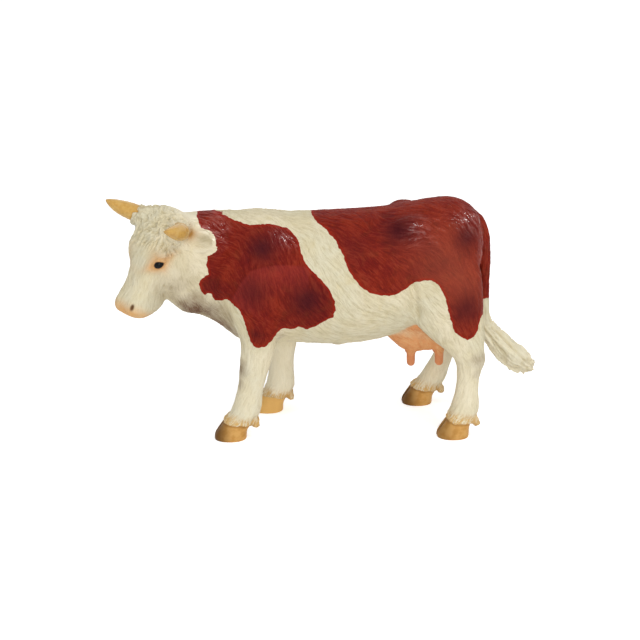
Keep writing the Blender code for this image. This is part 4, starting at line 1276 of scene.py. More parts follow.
def paint_masks(skin, masks):
    """Where each colour of the paint goes, by name, one number a point."""
    p = skin.points
    masks["patch"] = red_mask(p, masks)
    spots = (
        (-18.7, 13.3, 62.7, 5.2, 1.0), (-5.3, 17.0, 46.6, 5.8, 1.0), (-21.6, 15.6, 49.6, 5.2, 0.7),
        (-20.8, 15.8, 35.6, 3.0, 0.5), (23.2, 12.0, 67.3, 5.5, 1.0), (44.7, 11.6, 64.5, 4.4, 0.9),
        (44.5, 16.4, 43.0, 5.2, 0.85), (10.0, 15.0, 63.0, 5.0, 0.35), (33.0, 15.5, 58.0, 6.0, 0.25),
        (-34.0, 10.5, 50.5, 4.0, 0.5),
    )
    masks["dark"] = sprayed(p, spots)
    masks["blade"] = blade_mask(p)
    masks["smoke_and_shade"] = smoke_and_shade_mask(p)
    lips = step(masks["along"], 0.71, 0.84) * step(masks["outward"], -0.62, -0.30)
    masks["peach"] = np.clip(masks["peach"] + lips, 0, 1)
    add_stain_and_shine(p, masks)
    # Lighter, more orange red over the thighs
    orange_thigh = np.zeros(len(p))
    for hand in (-1, 1):
        orange_thigh += 0.9 * ball(p, beside(38.0, 15.5, 58.0, hand), 12 * MM)
        orange_thigh += 0.6 * ball(p, beside(47.0, 15.5, 48.0, hand), 8 * MM)
    masks["orange_thigh"] = np.clip(orange_thigh, 0, 1)
    # Painted light: legs lifted out of their shade, the far front leg most; a painted highlight on
    # the nape, and a lighter switch
    far_front_lift = 1 + 1.2 * (p[:, 0] < 0) * (p[:, 1] > 2 * MM)
    lit_legs = 0.45 * step(-p[:, 2], -36 * MM, -20 * MM) * far_front_lift
    lit_legs = lit_legs * (1 - np.clip(1.6 * masks["smoke_and_shade"], 0, 1))
    nape_highlight = 0.9 * ball(p, mm(-42.5, -5.5, 71.5), 5.0 * MM)
    for share in (nape_highlight, lit_legs, 0.45 * masks["long"]):
        masks["pale_and_lit"] = np.maximum(masks["pale_and_lit"], share)


def red_mask(points, masks):
    """How far inside the red each point is, in metres, with the tail's red and the cream ears."""
    deep, share = masks["tail"]
    patch = patch_distance(points)
    # No red on the skin behind the udder, between the thighs
    beside_thighs = np.maximum(np.abs(points[:, 1]) - 7 * MM, 0)
    between_thighs = points[:, 2] - 42.5 * MM + 3 * beside_thighs
    patch = np.where(points[:, 0] > 30 * MM, np.minimum(patch, between_thighs), patch)
    on_tail = step(deep, -0.3 * MM, 0.3 * MM)
    tail_patch = (0.520 - share) * 60 * MM
    patch = patch * (1 - on_tail) + tail_patch * on_tail
    for name in ("ear_left", "ear_right"):
        deep, share = masks[name]
        on_ear = step(deep, -0.6 * MM, -0.1 * MM) * step(share, 0.05, 0.15)
        on_ear = on_ear * step(masks["ear_end"], -0.03, 0.03)
        patch = patch * (1 - on_ear) - 2.0 * MM * on_ear
    return patch


def blade_mask(points):
    """The lighter red under the arc of the shoulder blade."""
    arc = (
        (-28.8, 45.7), (-25.6, 52.0), (-22.5, 56.0), (-17.9, 57.6), (-13.3, 57.9), (-8.7, 57.7),
        (-4.2, 57.2),
    )
    outline = (*arc, (3.0, 45.0), (-8.0, 34.0), (-24.0, 36.0))
    under = outline_distance(points[:, 0] / MM, points[:, 2] / MM, outline)
    found = np.zeros(len(points))
    for hand in (-1, 1):
        gap, share = line_distance(points, [beside(x, 15.3, z, hand) for x, z in arc])
        light = hill(gap, 7.5 * MM) * step(under, -0.3, 0.5) * (share > 0) * (share < 1)
        found = np.maximum(found, light * (points[:, 1] * hand > 0))
    return found


def smoke_and_shade_mask(points):
    """Grey-brown airbrushing and painted shade under the throat and belly, on the joints and folds,
    and along the jaw.
    """
    smoky_shade = (
        (-40.5, 7.0, 42.5, 6.0, 0.95), (-36.0, 8.5, 40.0, 5.5, 0.9), (-33.0, 6.0, 36.0, 5.5, 0.9),
        (-29.0, 7.0, 33.5, 5.0, 0.85), (-30.0, 10.0, 39.5, 3.5, 0.4), (-44.0, 8.0, 46.5, 3.5, 0.5),
        (-26.3, 12.5, 23.5, 3.2, 0.65), (-27.0, 12.5, 19.0, 2.6, 0.4), (49.0, 15.5, 25.5, 3.0, 0.5),
        (48.6, 15.5, 21.5, 2.4, 0.35), (28.3, 14.5, 45.0, 2.6, 0.14), (-13.5, 13.0, 34.0, 2.5, 0.3),
        (0.0, 0.0, 29.0, 10.0, 0.3), (49.5, 5.0, 42.0, 3.5, 0.4), (53.0, 0.0, 44.0, 3.0, 0.5),
    )
    left_smoky_shade = ((-43.0, 16.0, 62.0, 3.0, 0.35),)
    # Painted shade on the cheeks and along the jaw
    jaw_shade_shares = (
        (0.48, -0.5, 0.8, 7.5, 0.28), (0.62, -0.64, 0.6, 4.0, 0.18), (0.3, -0.66, 0.85, 6.0, 0.32),
    )
    found = np.maximum(sprayed(points, smoky_shade), sprayed(points, left_smoky_shade, hands=(-1,)))
    return np.maximum(found, sprayed(points, jaw_shade_shares, on_head))


def add_stain_and_shine(points, masks):
    """Ochre beside the horns and on the fetlocks, and lacquer where it pooled."""
    stain, shine = np.zeros(len(points)), np.zeros(len(points))
    # The pin bones, the mane and the places behind them
    pooled = (
        (46.0, 8.6, 70.0, 4.2, 1.3), (-34.0, 7.8, 69.0, 5.0, 0.9), (-11.2, 10.8, 66.4, 3.6, 1.0),
        (30.0, 12.5, 67.0, 3.6, 0.8), (50.8, 5.4, 63.0, 3.0, 0.5), (51.0, 5.4, 58.0, 3.0, 0.4),
    )
    for hand in (-1, 1):
        beside_horn = mm(-40.3, -10.8, 66.9) if hand < 0 else horn_rings(1)[1].centre
        stain += 1.3 * ball(points, beside_horn, 2.1 * MM)
        for *place, radius, strength in pooled:
            shine += strength * ball(points, beside(*place, hand), radius * MM)
    for leg in legs():
        fetlock = lerp(leg.joints[0], leg.joints[1], 0.58)
        stain += 0.8 * ball(points, fetlock - AHEAD * leg.depth * 0.6, 2.6 * MM)
    masks["stain"], masks["shine"] = stain, shine


# Pieces

CAP_REACH = 3.0 * MM
NUMBERS_IN_MM = ("patch", "hoof", "udder")
NUMBERS = (
    "dark", "smoke_and_shade", "peach", "hair", "toe", "eye", "nostril", "mouth", "hollow", "teat", "cleft",
    "stain", "shine", "pale_and_lit", "long", "blade", "calm", "orange_thigh",
)


def skin_pieces(skin, masks):
    """A number for each face: the place of its piece in the list of names."""
    names = ["trunk", "head"] + [leg.name for leg in legs()]
    names += ["ear_left", "ear_right", "tail", "udder"]
    middles = skin.points[skin.faces].mean(axis=1)

    def of_face(values):
        return values[skin.faces].mean(axis=1)

    piece = np.zeros(len(middles), int)
    seam, ahead = neck_seam()
    piece[(middles - np.array(seam)) @ np.array(ahead) > 0] = 1
    for number, leg in enumerate(legs(), 2):
        outline = [(v.x, v.y) for v in leg_outline(leg)]
        inside = outline_distance(middles[:, 0], middles[:, 2], outline) > 0
        piece[inside & (middles[:, 1] * leg.hand > LEG_BACK_FACE)] = number
    piece[of_face(masks["udder"]) > 0] = names.index("udder")
    deep, share = masks["tail"]
    piece[(of_face(deep) > -0.25 * MM) & (of_face(share) > 0.05)] = names.index("tail")
    for name in ("ear_left", "ear_right"):
        deep, share = masks[name]
        piece[(of_face(deep) > -0.6 * MM) & (of_face(share) > 0.09)] = names.index(name)
    return names, piece


def boundary_loops(faces):
    """The closed loops of points along the open edges of some faces."""
    ends = np.concatenate([faces[:, [k, (k + 1) % 4]] for k in range(4)])
    there = {(a, b) for a, b in ends.tolist()}
    after = collections.defaultdict(list)
    for a, b in there:
        if (b, a) not in there:
            after[b].append(a)
    loops = []
    while after:
        start = min(after)
        loop, here = [], start
        while here in after:
            following = after[here]
            nxt = following.pop()
            if not following:
                del after[here]
            loop.append(here)
            here = nxt
            if here == start:
                break
        if len(loop) > 2:
            loops.append(loop)
    return loops


def make_piece(name, skin, masks, faces, material):
    """One piece of the skin as an object, closed with a cap inside each of its seams."""
    used, index = np.unique(faces, return_inverse=True)
    quads = index.reshape(faces.shape)
    points = skin.points[used]
    caps, loops = [], boundary_loops(quads)
    for loop in loops:
        rim = skin.points[used[loop]]
        outward = skin.normals[used[loop]].mean(axis=0)
        reach = np.linalg.norm(rim - rim.mean(axis=0), axis=1).mean()
        hub = len(points)
        points = np.vstack([points, rim.mean(axis=0) - outward * min(reach, CAP_REACH)])
        caps += [(a, b, hub) for a, b in zip(loop, loop[1:] + loop[:1])]
    mesh = bpy.data.meshes.new(name)
    mesh.from_pydata((points + SPINE_TO_ROW).tolist(), [], quads.tolist() + caps)
    mesh.update()
    smooth = np.arange(len(mesh.polygons)) < len(quads)
    mesh.polygons.foreach_set("use_smooth", smooth)

    def with_hubs(values):
        hubs = [values[used[loop]].mean(axis=0, keepdims=True) for loop in loops]
        return np.concatenate([values[used], *hubs])

    for attribute in (*NUMBERS_IN_MM, *NUMBERS):
        scale = 1000 if attribute in NUMBERS_IN_MM else 1
        values = np.clip(with_hubs(masks[attribute]) * scale, -50, 50)
        add_numbers(mesh, attribute, values)
    layer = mesh.attributes.new("way", "FLOAT_VECTOR", "POINT")
    layer.data.foreach_set("vector", with_hubs(masks["way"]).astype(np.float32).ravel())
    normals = with_hubs(skin.normals)
    corner_points = np.empty(len(mesh.loops), np.int64)
    mesh.loops.foreach_get("vertex_index", corner_points)
    corner_normals = normals[corner_points]
    for polygon in mesh.polygons[len(quads):]:
        for corner in polygon.loop_indices:
            corner_normals[corner] = polygon.normal
    mesh.normals_split_custom_set(corner_normals.tolist())
    mesh.materials.append(material)
    obj = bpy.data.objects.new(name, mesh)
    bpy.context.scene.collection.objects.link(obj)
    return obj


def add_numbers(mesh, name, values):
    layer = mesh.attributes.new(name, "FLOAT", "POINT")
    layer.data.foreach_set("value", values.astype(np.float32))


def dress(obj, node):
    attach(obj, "root")
    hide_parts(node)


# Materials


class Graph:
    """A small helper that builds a material's nodes."""

    def __init__(self, name):
        self.material = bpy.data.materials.new(name)
        self.material.use_nodes = True
        self.tree = self.material.node_tree
        self.shader = self.tree.nodes["Principled BSDF"]
        self.place = self.node("ShaderNodeTexCoord").outputs["Object"]

    def node(self, kind, settings=(), **inputs):
        made = self.tree.nodes.new(kind)
        for key, value in dict(settings).items():
            setattr(made, key, value)
        for key, value in inputs.items():
            self.put(made.inputs[key.replace("_", " ")], value)
        return made

    def put(self, socket, value):
        if isinstance(value, bpy.types.NodeSocket):
            self.tree.links.new(value, socket)
        else:
            socket.default_value = value

    def math(self, operation, a, b=0.0, c=0.0, clamp=False):
        made = self.tree.nodes.new("ShaderNodeMath")
        made.operation = operation
        made.use_clamp = clamp
        for socket, value in zip(made.inputs, (a, b, c)):
            self.put(socket, value)
        return made.outputs[0]

    def times(self, a, b, clamp=False):
        return self.math("MULTIPLY", a, b, clamp=clamp)

    def line(self, value, slope, start, clamp=False):
        """The value times the slope, plus the start."""
        return self.math("MULTIPLY_ADD", value, slope, start, clamp)

    def vector(self, operation, a, b=(0, 0, 0)):
        made = self.tree.nodes.new("ShaderNodeVectorMath")
        made.operation = operation
        self.put(made.inputs[0], a)
        self.put(made.inputs[1], b)
        return made.outputs[0]

    def number(self, name):
        made = self.tree.nodes.new("ShaderNodeAttribute")
        made.attribute_name = name
        return made.outputs["Fac"]

    def way(self):
        made = self.tree.nodes.new("ShaderNodeAttribute")
        made.attribute_name = "way"
        return made.outputs["Vector"]

    def between(self, value, low, high):
        """0 at low, 1 at high, and smooth between."""
        made = self.tree.nodes.new("ShaderNodeMapRange")
        made.interpolation_type = "SMOOTHSTEP"
        for key, item in (("Value", value), ("From Min", low), ("From Max", high)):
            self.put(made.inputs[key], item)
        return made.outputs[0]

    def noise(self, grain, detail=2.0, place=None, rough=0.5):
        """Noise of about 0 to 1, with features of the given size in metres."""
        made = self.tree.nodes.new("ShaderNodeTexNoise")
        self.put(made.inputs["Vector"], self.place if place is None else place)
        self.put(made.inputs["Scale"], 1 / grain)
        self.put(made.inputs["Detail"], detail)
        self.put(made.inputs["Roughness"], rough)
        return made.outputs["Fac"]

    def mix(self, share, first, second):
        made = self.tree.nodes.new("ShaderNodeMix")
        made.data_type = "RGBA"
        self.put(made.inputs[0], share)
        self.put(made.inputs[6], first)
        self.put(made.inputs[7], second)
        return made.outputs[2]

    def tint(self, colour, share, strength, picked, clamp=False):
        """The colour with a share, times the strength, of another that was picked in sRGB."""
        return self.mix(self.times(share, strength, clamp), colour, srgb(*picked))

    def mix_number(self, share, first, second):
        made = self.tree.nodes.new("ShaderNodeMix")
        self.put(made.inputs[0], share)
        self.put(made.inputs[2], first)
        self.put(made.inputs[3], second)
        return made.outputs[0]

    def strands(self, grain, stride, count, way):
        """Noise averaged along the hair, about -1 to 1."""
        total = None
        for k in range(-count, count + 1):
            shift = self.vector("SCALE", way)
            shift.node.inputs["Scale"].default_value = k * stride
            tap = self.noise(grain, 0.0, self.vector("ADD", self.place, shift))
            total = tap if total is None else self.math("ADD", total, tap)
        taps = 2 * count + 1
        return self.math("MULTIPLY_ADD", total, 6.5 / taps, -3.25)

    def finish(self, colour, roughness, height, depth, specular=0.5):
        self.put(self.shader.inputs["Base Color"], colour)
        self.put(self.shader.inputs["Roughness"], roughness)
        self.shader.inputs["Specular IOR Level"].default_value = specular
        bump = self.node("ShaderNodeBump", Height=height, Distance=depth)
        bump.inputs["Strength"].default_value = 1.0
        self.put(self.shader.inputs["Normal"], bump.outputs[0])
        return self.material


def srgb(red, green, blue):
    """A colour as picked from a picture, in the linear values that a shader takes."""
    def linear(value):
        share = value / 255
        return share / 12.92 if share < 0.04045 else ((share + 0.055) / 1.055) ** 2.4
    return (linear(red), linear(green), linear(blue), 1.0)


class CoatGraph(Graph):
    """The graph of the painted coat, with the noises that its colours share."""

    def __init__(self):
        super().__init__("painted_coat")
        self.fine = self.strands(0.37 * MM, 0.32 * MM, 2, self.way())
        self.blotch = self.noise(6 * MM, 3.0)
        self.patchy = self.noise(2.2 * MM, 2.0)
        self.speck = self.noise(0.5 * MM, 3.0)
        long = self.number("long")
        shaded = self.times(self.fine, self.line(long, -0.65, 0.95))
        self.strand = self.line(self.number("hair"), self.line(long, 0.65, 0.36), shaded)
        self.lumps = self.math("SUBTRACT", self.noise(2.0 * MM, 1.5), 0.5)
        self.ragged = self.line(self.fine, 0.07, self.times(self.lumps, 1.1))

    def cream(self):
        """Cream: darker ochre in the grooves, partly a wash and partly painted shade, and the
        strands' backs are paler.
        """
        wide = self.between(self.noise(22 * MM, 1.0), 0.38, 0.62)
        cream = self.mix(wide, srgb(222, 215, 188), srgb(231, 220, 191))
        cream = self.tint(cream, self.between(self.blotch, 0.40, 0.70), 0.7, (220, 208, 172))
        cream = self.tint(cream, self.between(self.patchy, 0.55, 0.8), 0.5, (218, 204, 162))
        # Ochre wash and painted shade in the grooves between the strands
        groove = self.between(self.strand, 1.0, -1.8)
        depth = self.line(self.number("calm"), -0.20, 0.62)
        cream = self.tint(cream, groove, depth, (186, 171, 130))
        # Grey-brown airbrushing with painted shade under the throat and belly, in the folds and on
        # the cheeks
        smoke_and_shade = self.number("smoke_and_shade")
        cloud = self.line(self.math("SUBTRACT", self.blotch, 0.5), 0.8, smoke_and_shade, clamp=True)
        cloud = self.times(cloud, self.between(smoke_and_shade, 0.02, 0.2))
        cream = self.tint(
            cream, cloud, self.line(self.strand, -0.22, 0.95), (114, 86, 68), clamp=True
        )
        # Painted highlights on the ear rims and the nape, painted light on the legs, and a lighter
        # switch
        cream = self.tint(cream, self.number("pale_and_lit"), 0.65, (252, 243, 218))
        cream = self.tint(cream, self.number("stain"), 0.85, (182, 134, 72), clamp=True)
        peach = self.times(self.number("peach"), self.line(self.patchy, 0.8, 0.55), clamp=True)
        cream = self.tint(cream, peach, 0.9, (224, 170, 108))
        # Painted shade in the ears' hollows
        return self.tint(cream, self.number("hollow"), 0.50, (158, 144, 108), clamp=True)

    def red(self, edge):
        """Red: brighter along the rim, lighter and more orange over the thighs, dark where it was
        airbrushed, with painted highlights on the strands and painted shade between them.
        """
        red = self.mix(self.between(self.blotch, 0.3, 0.7), srgb(115, 24, 18), srgb(135, 39, 23))
        red = self.tint(red, self.between(self.patchy, 0.5, 0.75), 0.4, (140, 42, 14))
        elsewhere = self.vector("ADD", self.place, (0.02, 0.01, 0.03))
        olive = self.between(self.noise(3.4 * MM, 2.0, elsewhere), 0.52, 0.78)
        red = self.tint(red, olive, 0.28, (110, 52, 24))
        # Painted highlights on the strands' ridges and painted shade in their grooves
        red = self.tint(red, self.between(self.strand, -0.4, 1.6), 0.38, (166, 70, 46))
        red = self.tint(red, self.between(self.strand, 0.4, -1.6), 0.48, (76, 16, 14))
        red = self.tint(red, self.number("blade"), 0.36, (158, 56, 52))
        red = self.tint(red, self.number("orange_thigh"), 0.38, (166, 86, 64))
        red = self.tint(red, self.number("dark"), 0.85, (62, 16, 24))
        return self.tint(red, self.between(edge, 1.1, 0.2), 0.55, (156, 34, 16))

    def flesh(self, udder):
        """The udder's peach, with pale veins, and warmer on the teats."""
        flesh = self.between(self.patchy, 0.35, 0.7)
        flesh = self.mix(flesh, srgb(222, 156, 104), srgb(208, 136, 86))
        flesh = self.tint(flesh, self.between(self.speck, 0.5, 0.75), 0.4, (228, 186, 134))
        vein = self.times(self.between(udder, 4.5, 0.5), self.between(self.strand, -0.2, 0.7))
        flesh = self.tint(flesh, vein, 0.4, (226, 190, 138))
        return self.tint(flesh, self.number("teat"), 0.7, (212, 134, 94))

    def wash(self, colour, hoof):
        """The colour with a wash of ochre on the hair above the hooves."""
        share = self.times(self.between(hoof, -4.2, -0.2), self.line(self.patchy, 1.8, 0.45))
        share = self.times(share, self.between(self.strand, 1.3, -0.8), clamp=True)
        return self.tint(colour, share, 0.85, (210, 166, 94))

    def hoof_horn(self, hoof):
        """Tan horn, browner at the toe, and lighter on the far front hoof as painted light."""
        horn = self.between(self.patchy, 0.35, 0.7)
        horn = self.mix(horn, srgb(214, 166, 98), srgb(196, 144, 76))
        coronet = self.between(self.math("ADD", hoof, self.lumps), 1.1, 0.2)
        horn = self.tint(horn, coronet, 0.45, (150, 104, 52))
        toe = self.number("toe")
        horn = self.tint(horn, toe, 0.90, (100, 66, 30), clamp=True)
        # Painted light: the far front hoof lighter where the body shades it
        horn = self.tint(horn, toe, -0.90, (248, 200, 122), clamp=True)
        return self.mix(self.number("cleft"), horn, srgb(70, 46, 24))

    def face(self, colour, eye):
        """The colour with the nostrils, the mouth and the eyelids on it."""
        nostril = self.between(self.number("nostril"), 0.15, 0.70)
        colour = self.tint(colour, nostril, 0.95, (98, 64, 36))
        colour = self.tint(colour, self.number("mouth"), 0.55, (150, 108, 78))
        return self.tint(colour, self.between(eye, 1.32, 1.02), 0.7, (120, 72, 50))


def hide_material():
    """The painted coat: cream with red patches, airbrushed spots, painted shade and highlights,
    hooves, eyes and muzzle.
    """
    g = CoatGraph()
    eye, hoof, udder = g.number("eye"), g.number("hoof"), g.number("udder")
    edge = g.math("ADD", g.number("patch"), g.ragged)
    on_red = g.between(edge, -0.05, 0.08)
    on_udder = g.between(g.math("ADD", udder, g.times(g.ragged, 0.5)), -0.5, 0.9)
    on_hoof = g.between(hoof, -0.1, 0.15)
    on_eye = g.between(eye, 1.08, 0.96)

    colour = g.mix(on_red, g.cream(), g.red(edge))
    colour = g.mix(on_udder, colour, g.flesh(udder))
    colour = g.mix(on_hoof, g.wash(colour, hoof), g.hoof_horn(hoof))
    colour = g.mix(on_eye, g.face(colour, eye), srgb(8, 8, 10))

    rough = g.mix_number(on_red, 0.60, 0.56)
    rough = g.line(g.math("SUBTRACT", g.speck, 0.5), 0.25, rough)
    rough = g.mix_number(on_hoof, rough, 0.40)
    rough = g.mix_number(on_eye, rough, 0.12)

    # Clear lacquer where it pooled, and on the eyes
    lacquer = g.times(g.number("shine"), g.between(g.strand, -0.5, 1.3), clamp=True)
    g.put(g.shader.inputs["Coat Weight"], g.math("MAXIMUM", lacquer, g.times(on_eye, 0.06)))
    g.shader.inputs["Coat Roughness"].default_value = 0.15
    g.shader.inputs["Coat IOR"].default_value = 1.8

    bald = g.math("MAXIMUM", g.math("MAXIMUM", on_hoof, on_eye), g.times(on_udder, 0.75))
    height = g.times(g.times(g.fine, g.math("SUBTRACT", 1.0, bald)), 0.5)
    return g.finish(colour, rough, g.line(g.speck, 0.10, height), 0.12 * MM, 0.06)


def horn_material():
    """Yellow horn, browner at its root and tip, with streaks."""
    g = Graph("horn")
    streak = g.noise(1.0 * MM, 3.0)
    root = g.number("root")
    colour = g.mix(g.between(streak, 0.35, 0.7), srgb(211, 169, 92), srgb(199, 153, 78))
    colour = g.tint(colour, g.between(g.noise(2.4 * MM, 1.0), 0.5, 0.75), 0.5, (218, 184, 116))
    colour = g.tint(colour, g.between(root, 0.34, 0.1), 0.6, (184, 132, 64))
    colour = g.tint(colour, g.between(root, 0.86, 1.0), 0.45, (176, 134, 72))
    return g.finish(colour, g.line(streak, 0.10, 0.14), g.times(streak, 0.5), 0.03 * MM, 0.25)


def floor_material():
    """A white floor that also glows by itself for the camera, so its far parts stay white."""
    g = Graph("floor")
    path = g.node("ShaderNodeLightPath")
    seen = g.math("MAXIMUM", path.outputs["Is Camera Ray"], path.outputs["Is Glossy Ray"])
    seen = g.math("MAXIMUM", seen, path.outputs["Is Transmission Ray"])
    g.shader.inputs["Base Color"].default_value = (0.92, 0.92, 0.92, 1)
    g.shader.inputs["Roughness"].default_value = 0.9
    g.shader.inputs["Specular IOR Level"].default_value = 0.1
    g.shader.inputs["Emission Color"].default_value = (1, 1, 1, 1)
    g.put(g.shader.inputs["Emission Strength"], g.times(seen, 0.56))
    return g.material


# Scene

# The camera: its angles, its distance from what it aims at, and the photo's width
AZIMUTH = -4 * DEGREE
ELEVATION = 18 * DEGREE
DISTANCE = 0.420
AIM_HEIGHT = 0.035
PHOTO_PIXELS = 640
PIXEL = 0.3226 * MM
SENSOR_WIDTH = 36

# Lamps: name, place, aim, width in metres and power
LAMPS = (
    ("key", (0.02, -0.60, 0.66), (0, 0, 0.04), 0.12, 0.2),
    ("fill", (-0.06, -0.86, 0.12), (0, 0, 0.03), 0.50, 2.7),
    ("back", (0.10, 0.55, 0.60), (0, 0, 0.04), 0.40, 0.4),
    ("gleam", (0.20, -0.26, 0.82), (0, 0, 0.06), 0.07, 0.8),
    ("glint", (0.37, -0.40, 0.68), (0, 0, 0.06), 0.10, 1.1),
)
WORLD_LIGHT = 0.53


def make_horn(hand, material):
    """A horn with fine growth rings near its root."""
    rings = smoothed(horn_rings(hand), 8)
    shaped = []
    for i, ring in enumerate(rings):
        share = i / (len(rings) - 1)
        swell = 1 + 0.018 * math.sin(share * 60) * (1 - share) ** 2 - 0.012
        sizes = [size * swell for size in (ring.wide, ring.above, ring.below)]
        shaped.append(Ring(ring.centre, ring.side, ring.up, *sizes))
    bm = bmesh.new()
    add_tube(bm, shaped, 1, 40)
    name = "horn_left" if hand < 0 else "horn_right"
    obj = object_of("painted_" + name, bm)
    mesh = obj.data
    points = np.empty(len(mesh.vertices) * 3)
    mesh.vertices.foreach_get("co", points)
    points = points.reshape(-1, 3)
    _, share = line_distance(points, [ring.centre for ring in rings])
    add_numbers(mesh, "root", share)
    points = clip_to_box(points) + SPINE_TO_ROW
    mesh.vertices.foreach_set("co", points.astype(np.float32).ravel())
    mesh.shade_smooth()
    mesh.materials.append(material)
    dress(obj, name)


def place_facing(obj, place, aim):
    """Puts a lamp or a camera at a place, so that it looks at its aim."""
    bpy.context.scene.collection.objects.link(obj)
    obj.location = place
    obj.rotation_mode = "QUATERNION"
    obj.rotation_quaternion = (Vector(aim) - Vector(place)).to_track_quat("-Z", "Y")


def add_lamps():
    for name, place, aim, width, power in LAMPS:
        lamp = bpy.data.lights.new(name, "AREA")
        lamp.shape = "SQUARE"
        lamp.size = width
        lamp.energy = power
        place_facing(bpy.data.objects.new(name, lamp), place, aim)


def add_camera():
    """The photograph's view: 18 degrees above level and 4 degrees ahead of the left side."""
    aim = Vector((0, 0, AIM_HEIGHT)) + Vector(SPINE_TO_ROW)
    level = math.cos(ELEVATION)
    back = Vector((math.sin(AZIMUTH) * level, -math.cos(AZIMUTH) * level, math.sin(ELEVATION)))
    camera = bpy.data.cameras.new("camera")
    camera.sensor_width = SENSOR_WIDTH
    camera.lens = SENSOR_WIDTH * DISTANCE / (PHOTO_PIXELS * PIXEL)
    camera.clip_start, camera.clip_end = 0.01, 20
    obj = bpy.data.objects.new("camera", camera)
    place_facing(obj, aim + back * DISTANCE, aim)
    bpy.context.scene.camera = obj


def add_floor():
    bm = bmesh.new()
    bmesh.ops.create_grid(bm, x_segments=8, y_segments=8, size=3)
    floor = object_of("floor", bm)
    floor.data.materials.append(floor_material())


def add_world():
    """White where the camera sees it, and dimmer as a light."""
    world = bpy.data.worlds.new("studio")
    bpy.context.scene.world = world
    world.use_nodes = True
    nodes, links = world.node_tree.nodes, world.node_tree.links
    background = nodes["Background"]
    path = nodes.new("ShaderNodeLightPath")
    strength = nodes.new("ShaderNodeMix")
    seen = nodes.new("ShaderNodeMath")
    seen.operation = "MAXIMUM"
    links.new(path.outputs["Is Camera Ray"], seen.inputs[0])
    links.new(path.outputs["Is Glossy Ray"], seen.inputs[1])
    links.new(seen.outputs[0], strength.inputs[0])
    strength.inputs[2].default_value = WORLD_LIGHT
    strength.inputs[3].default_value = 1.0
    background.inputs["Color"].default_value = (1, 1, 1, 1)
    links.new(strength.outputs[0], background.inputs["Strength"])


def soften(skin):
    """Melts the skin where ears, tail and udder grow out of it, and draws in the thin ends."""
    p = skin.points
    tail, udder = tail_rings(), udder_middle()
    roots = ball(p, ear_rings(-1)[0].centre, 4 * MM) + ball(p, ear_rings(1)[0].centre, 4 * MM)
    roots += ball(p, tail[1].centre, 5 * MM) + ball(p, tail[3].centre, 4 * MM)
    roots += (np.abs(p[:, 2] - udder.z) < 5 * MM) * ball(p, udder, 16 * MM)
    skin.relax(np.clip(roots * 1.2, 0, 1), ROOT_ROUNDS)
    above_tail = ball(p, mm(48.6, 0, 70.6), 4.6 * MM)
    skin.relax(np.clip(1.4 * above_tail, 0, 1), TAIL_ROOT_ROUNDS)
    for hand in (-1, 1):
        rings = ear_rings(hand)
        deep, share = tube_mask(skin.points, rings)
        tip = step(deep, -1.2 * MM, -0.2 * MM) * step(share, 0.35, 1.0)
        along = np.array((rings[-1].centre - rings[0].centre).normalized())
        local = skin.points - np.array(rings[2].centre)
        across = np.abs(local @ np.array(rings[2].side)) / (0.5 * EAR_WIDTH)
        inward = 1.2 + 1.5 * np.clip(across, 0, 1.1) ** 2
        skin.points = skin.points - (inward * MM * tip)[:, None] * along
        tip = ball(skin.points, rings[-1].centre, 3.0 * MM)
        skin.relax(np.clip(1.3 * tip, 0, 1), EAR_TIP_ROUNDS)
    end = tail[-1].centre
    back_along = np.array((tail[-3].centre - end).normalized())
    inward = 0.45 * MM * ball(skin.points, end, 3.0 * MM)
    skin.points = skin.points + inward[:, None] * back_along
    tip = ball(skin.points, end, 2.4 * MM)
    skin.relax(np.clip(1.2 * tip, 0, 1), SWITCH_TIP_ROUNDS)


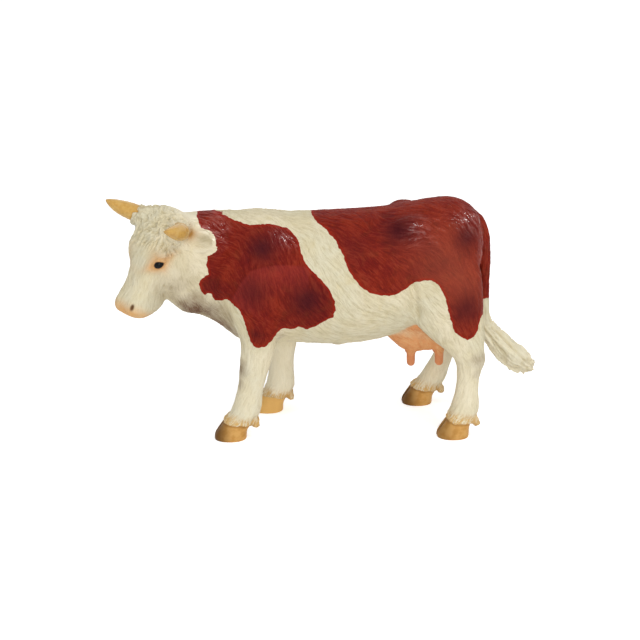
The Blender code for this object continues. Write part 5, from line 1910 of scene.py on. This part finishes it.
def comb(skin, masks):
    """Strands, curls and locks, raised on the skin and kept as masks for the paint."""
    p, normals = skin.points, skin.normals
    deep, share = masks["tail"] = tube_mask(p, tail_rings())
    on_tail = step(deep, -0.8 * MM, 0.2 * MM) * step(share, 0.05, 0.12)
    switch = on_tail * step(share, 0.58, 0.70)
    forehead = step(masks["along"], -0.30, -0.15) * step(-masks["along"], -0.30, -0.20)
    forehead = forehead * step(masks["outward"], -0.25, 0.0)
    mane = ball(p, mm(-35, -8, 67), 6.5 * MM)
    head = step(masks["along"], -0.30, 0.05)
    ears = [step(masks[name][0], -1.2 * MM, -0.2 * MM) for name in ("ear_left", "ear_right")]
    ears = np.maximum(*ears)
    masks["long"] = switch
    masks["calm"] = head * (1 - forehead)

    wave = 1 + 1.1 * forehead + 0.35 * head - 0.7 * on_tail + 0.6 * switch
    masks["way"] = hair_ways(p, normals, wave)
    field = WayField(p, masks["way"])
    hair = field.strands(p, normals, *HAIR)
    coat = field.strands(p, normals, *COAT)
    curls = field.strands(p, normals, *CURLS)
    locks = field.strands(p, normals, *LOCKS)

    bald = step(masks["hoof"], -0.2 * MM, 0.3 * MM) + masks["bare"] + 0.7 * masks["muzzle"]
    furry = 1 - np.clip(bald, 0, 1)
    furry = furry * (1 - 0.8 * step(masks["udder"], -0.3 * MM, 0.8 * MM)) * (1 - 0.75 * ears)
    low = step(-p[:, 2], -32 * MM, -24 * MM)
    coat = coat * (1 - 0.5 * low) * (1 - 0.8 * head)
    height = (0.050 * hair + 0.022 * coat - 0.03) * furry * (1 - 0.8 * switch)
    height += (0.25 * curls * forehead + 0.07 * curls * mane) * (1 - ears)
    tip = ball(p, tail_rings()[-1].centre, 2.2 * MM)
    height += (0.50 * locks - 0.18) * switch * (1 - 0.7 * tip)
    tuft = step(masks["hoof"], -4.5 * MM, -1.5 * MM) * step(-masks["hoof"], -0.3 * MM, 0.3 * MM)
    height += 0.12 * curls * tuft
    skin.raise_by(height * MM)
    hair = 0.7 * hair + 0.7 * coat
    hair = hair * furry * (1 - 0.8 * switch) + 1.9 * curls * (forehead + 0.4 * mane)
    masks["hair"] = np.clip(hair + 2.2 * locks * switch, -3.0, 3.0)


def add_figure():
    """The painted pieces that stand for the CAD nodes."""
    skin = Skin(whole_skin())
    soften(skin)
    masks = carve(skin)
    comb(skin, masks)
    paint_masks(skin, masks)
    skin.points = clip_to_box(skin.points)
    skin.normals = skin.find_normals()
    horn, coat = horn_material(), hide_material()
    names, piece = skin_pieces(skin, masks)
    for number, name in enumerate(names):
        obj = make_piece("painted_" + name, skin, masks, skin.faces[piece == number], coat)
        dress(obj, name)
    for hand in (-1, 1):
        make_horn(hand, horn)


add_figure()
add_camera()
add_floor()
add_world()
add_lamps()
bpy.context.scene.view_settings.view_transform = "Standard"
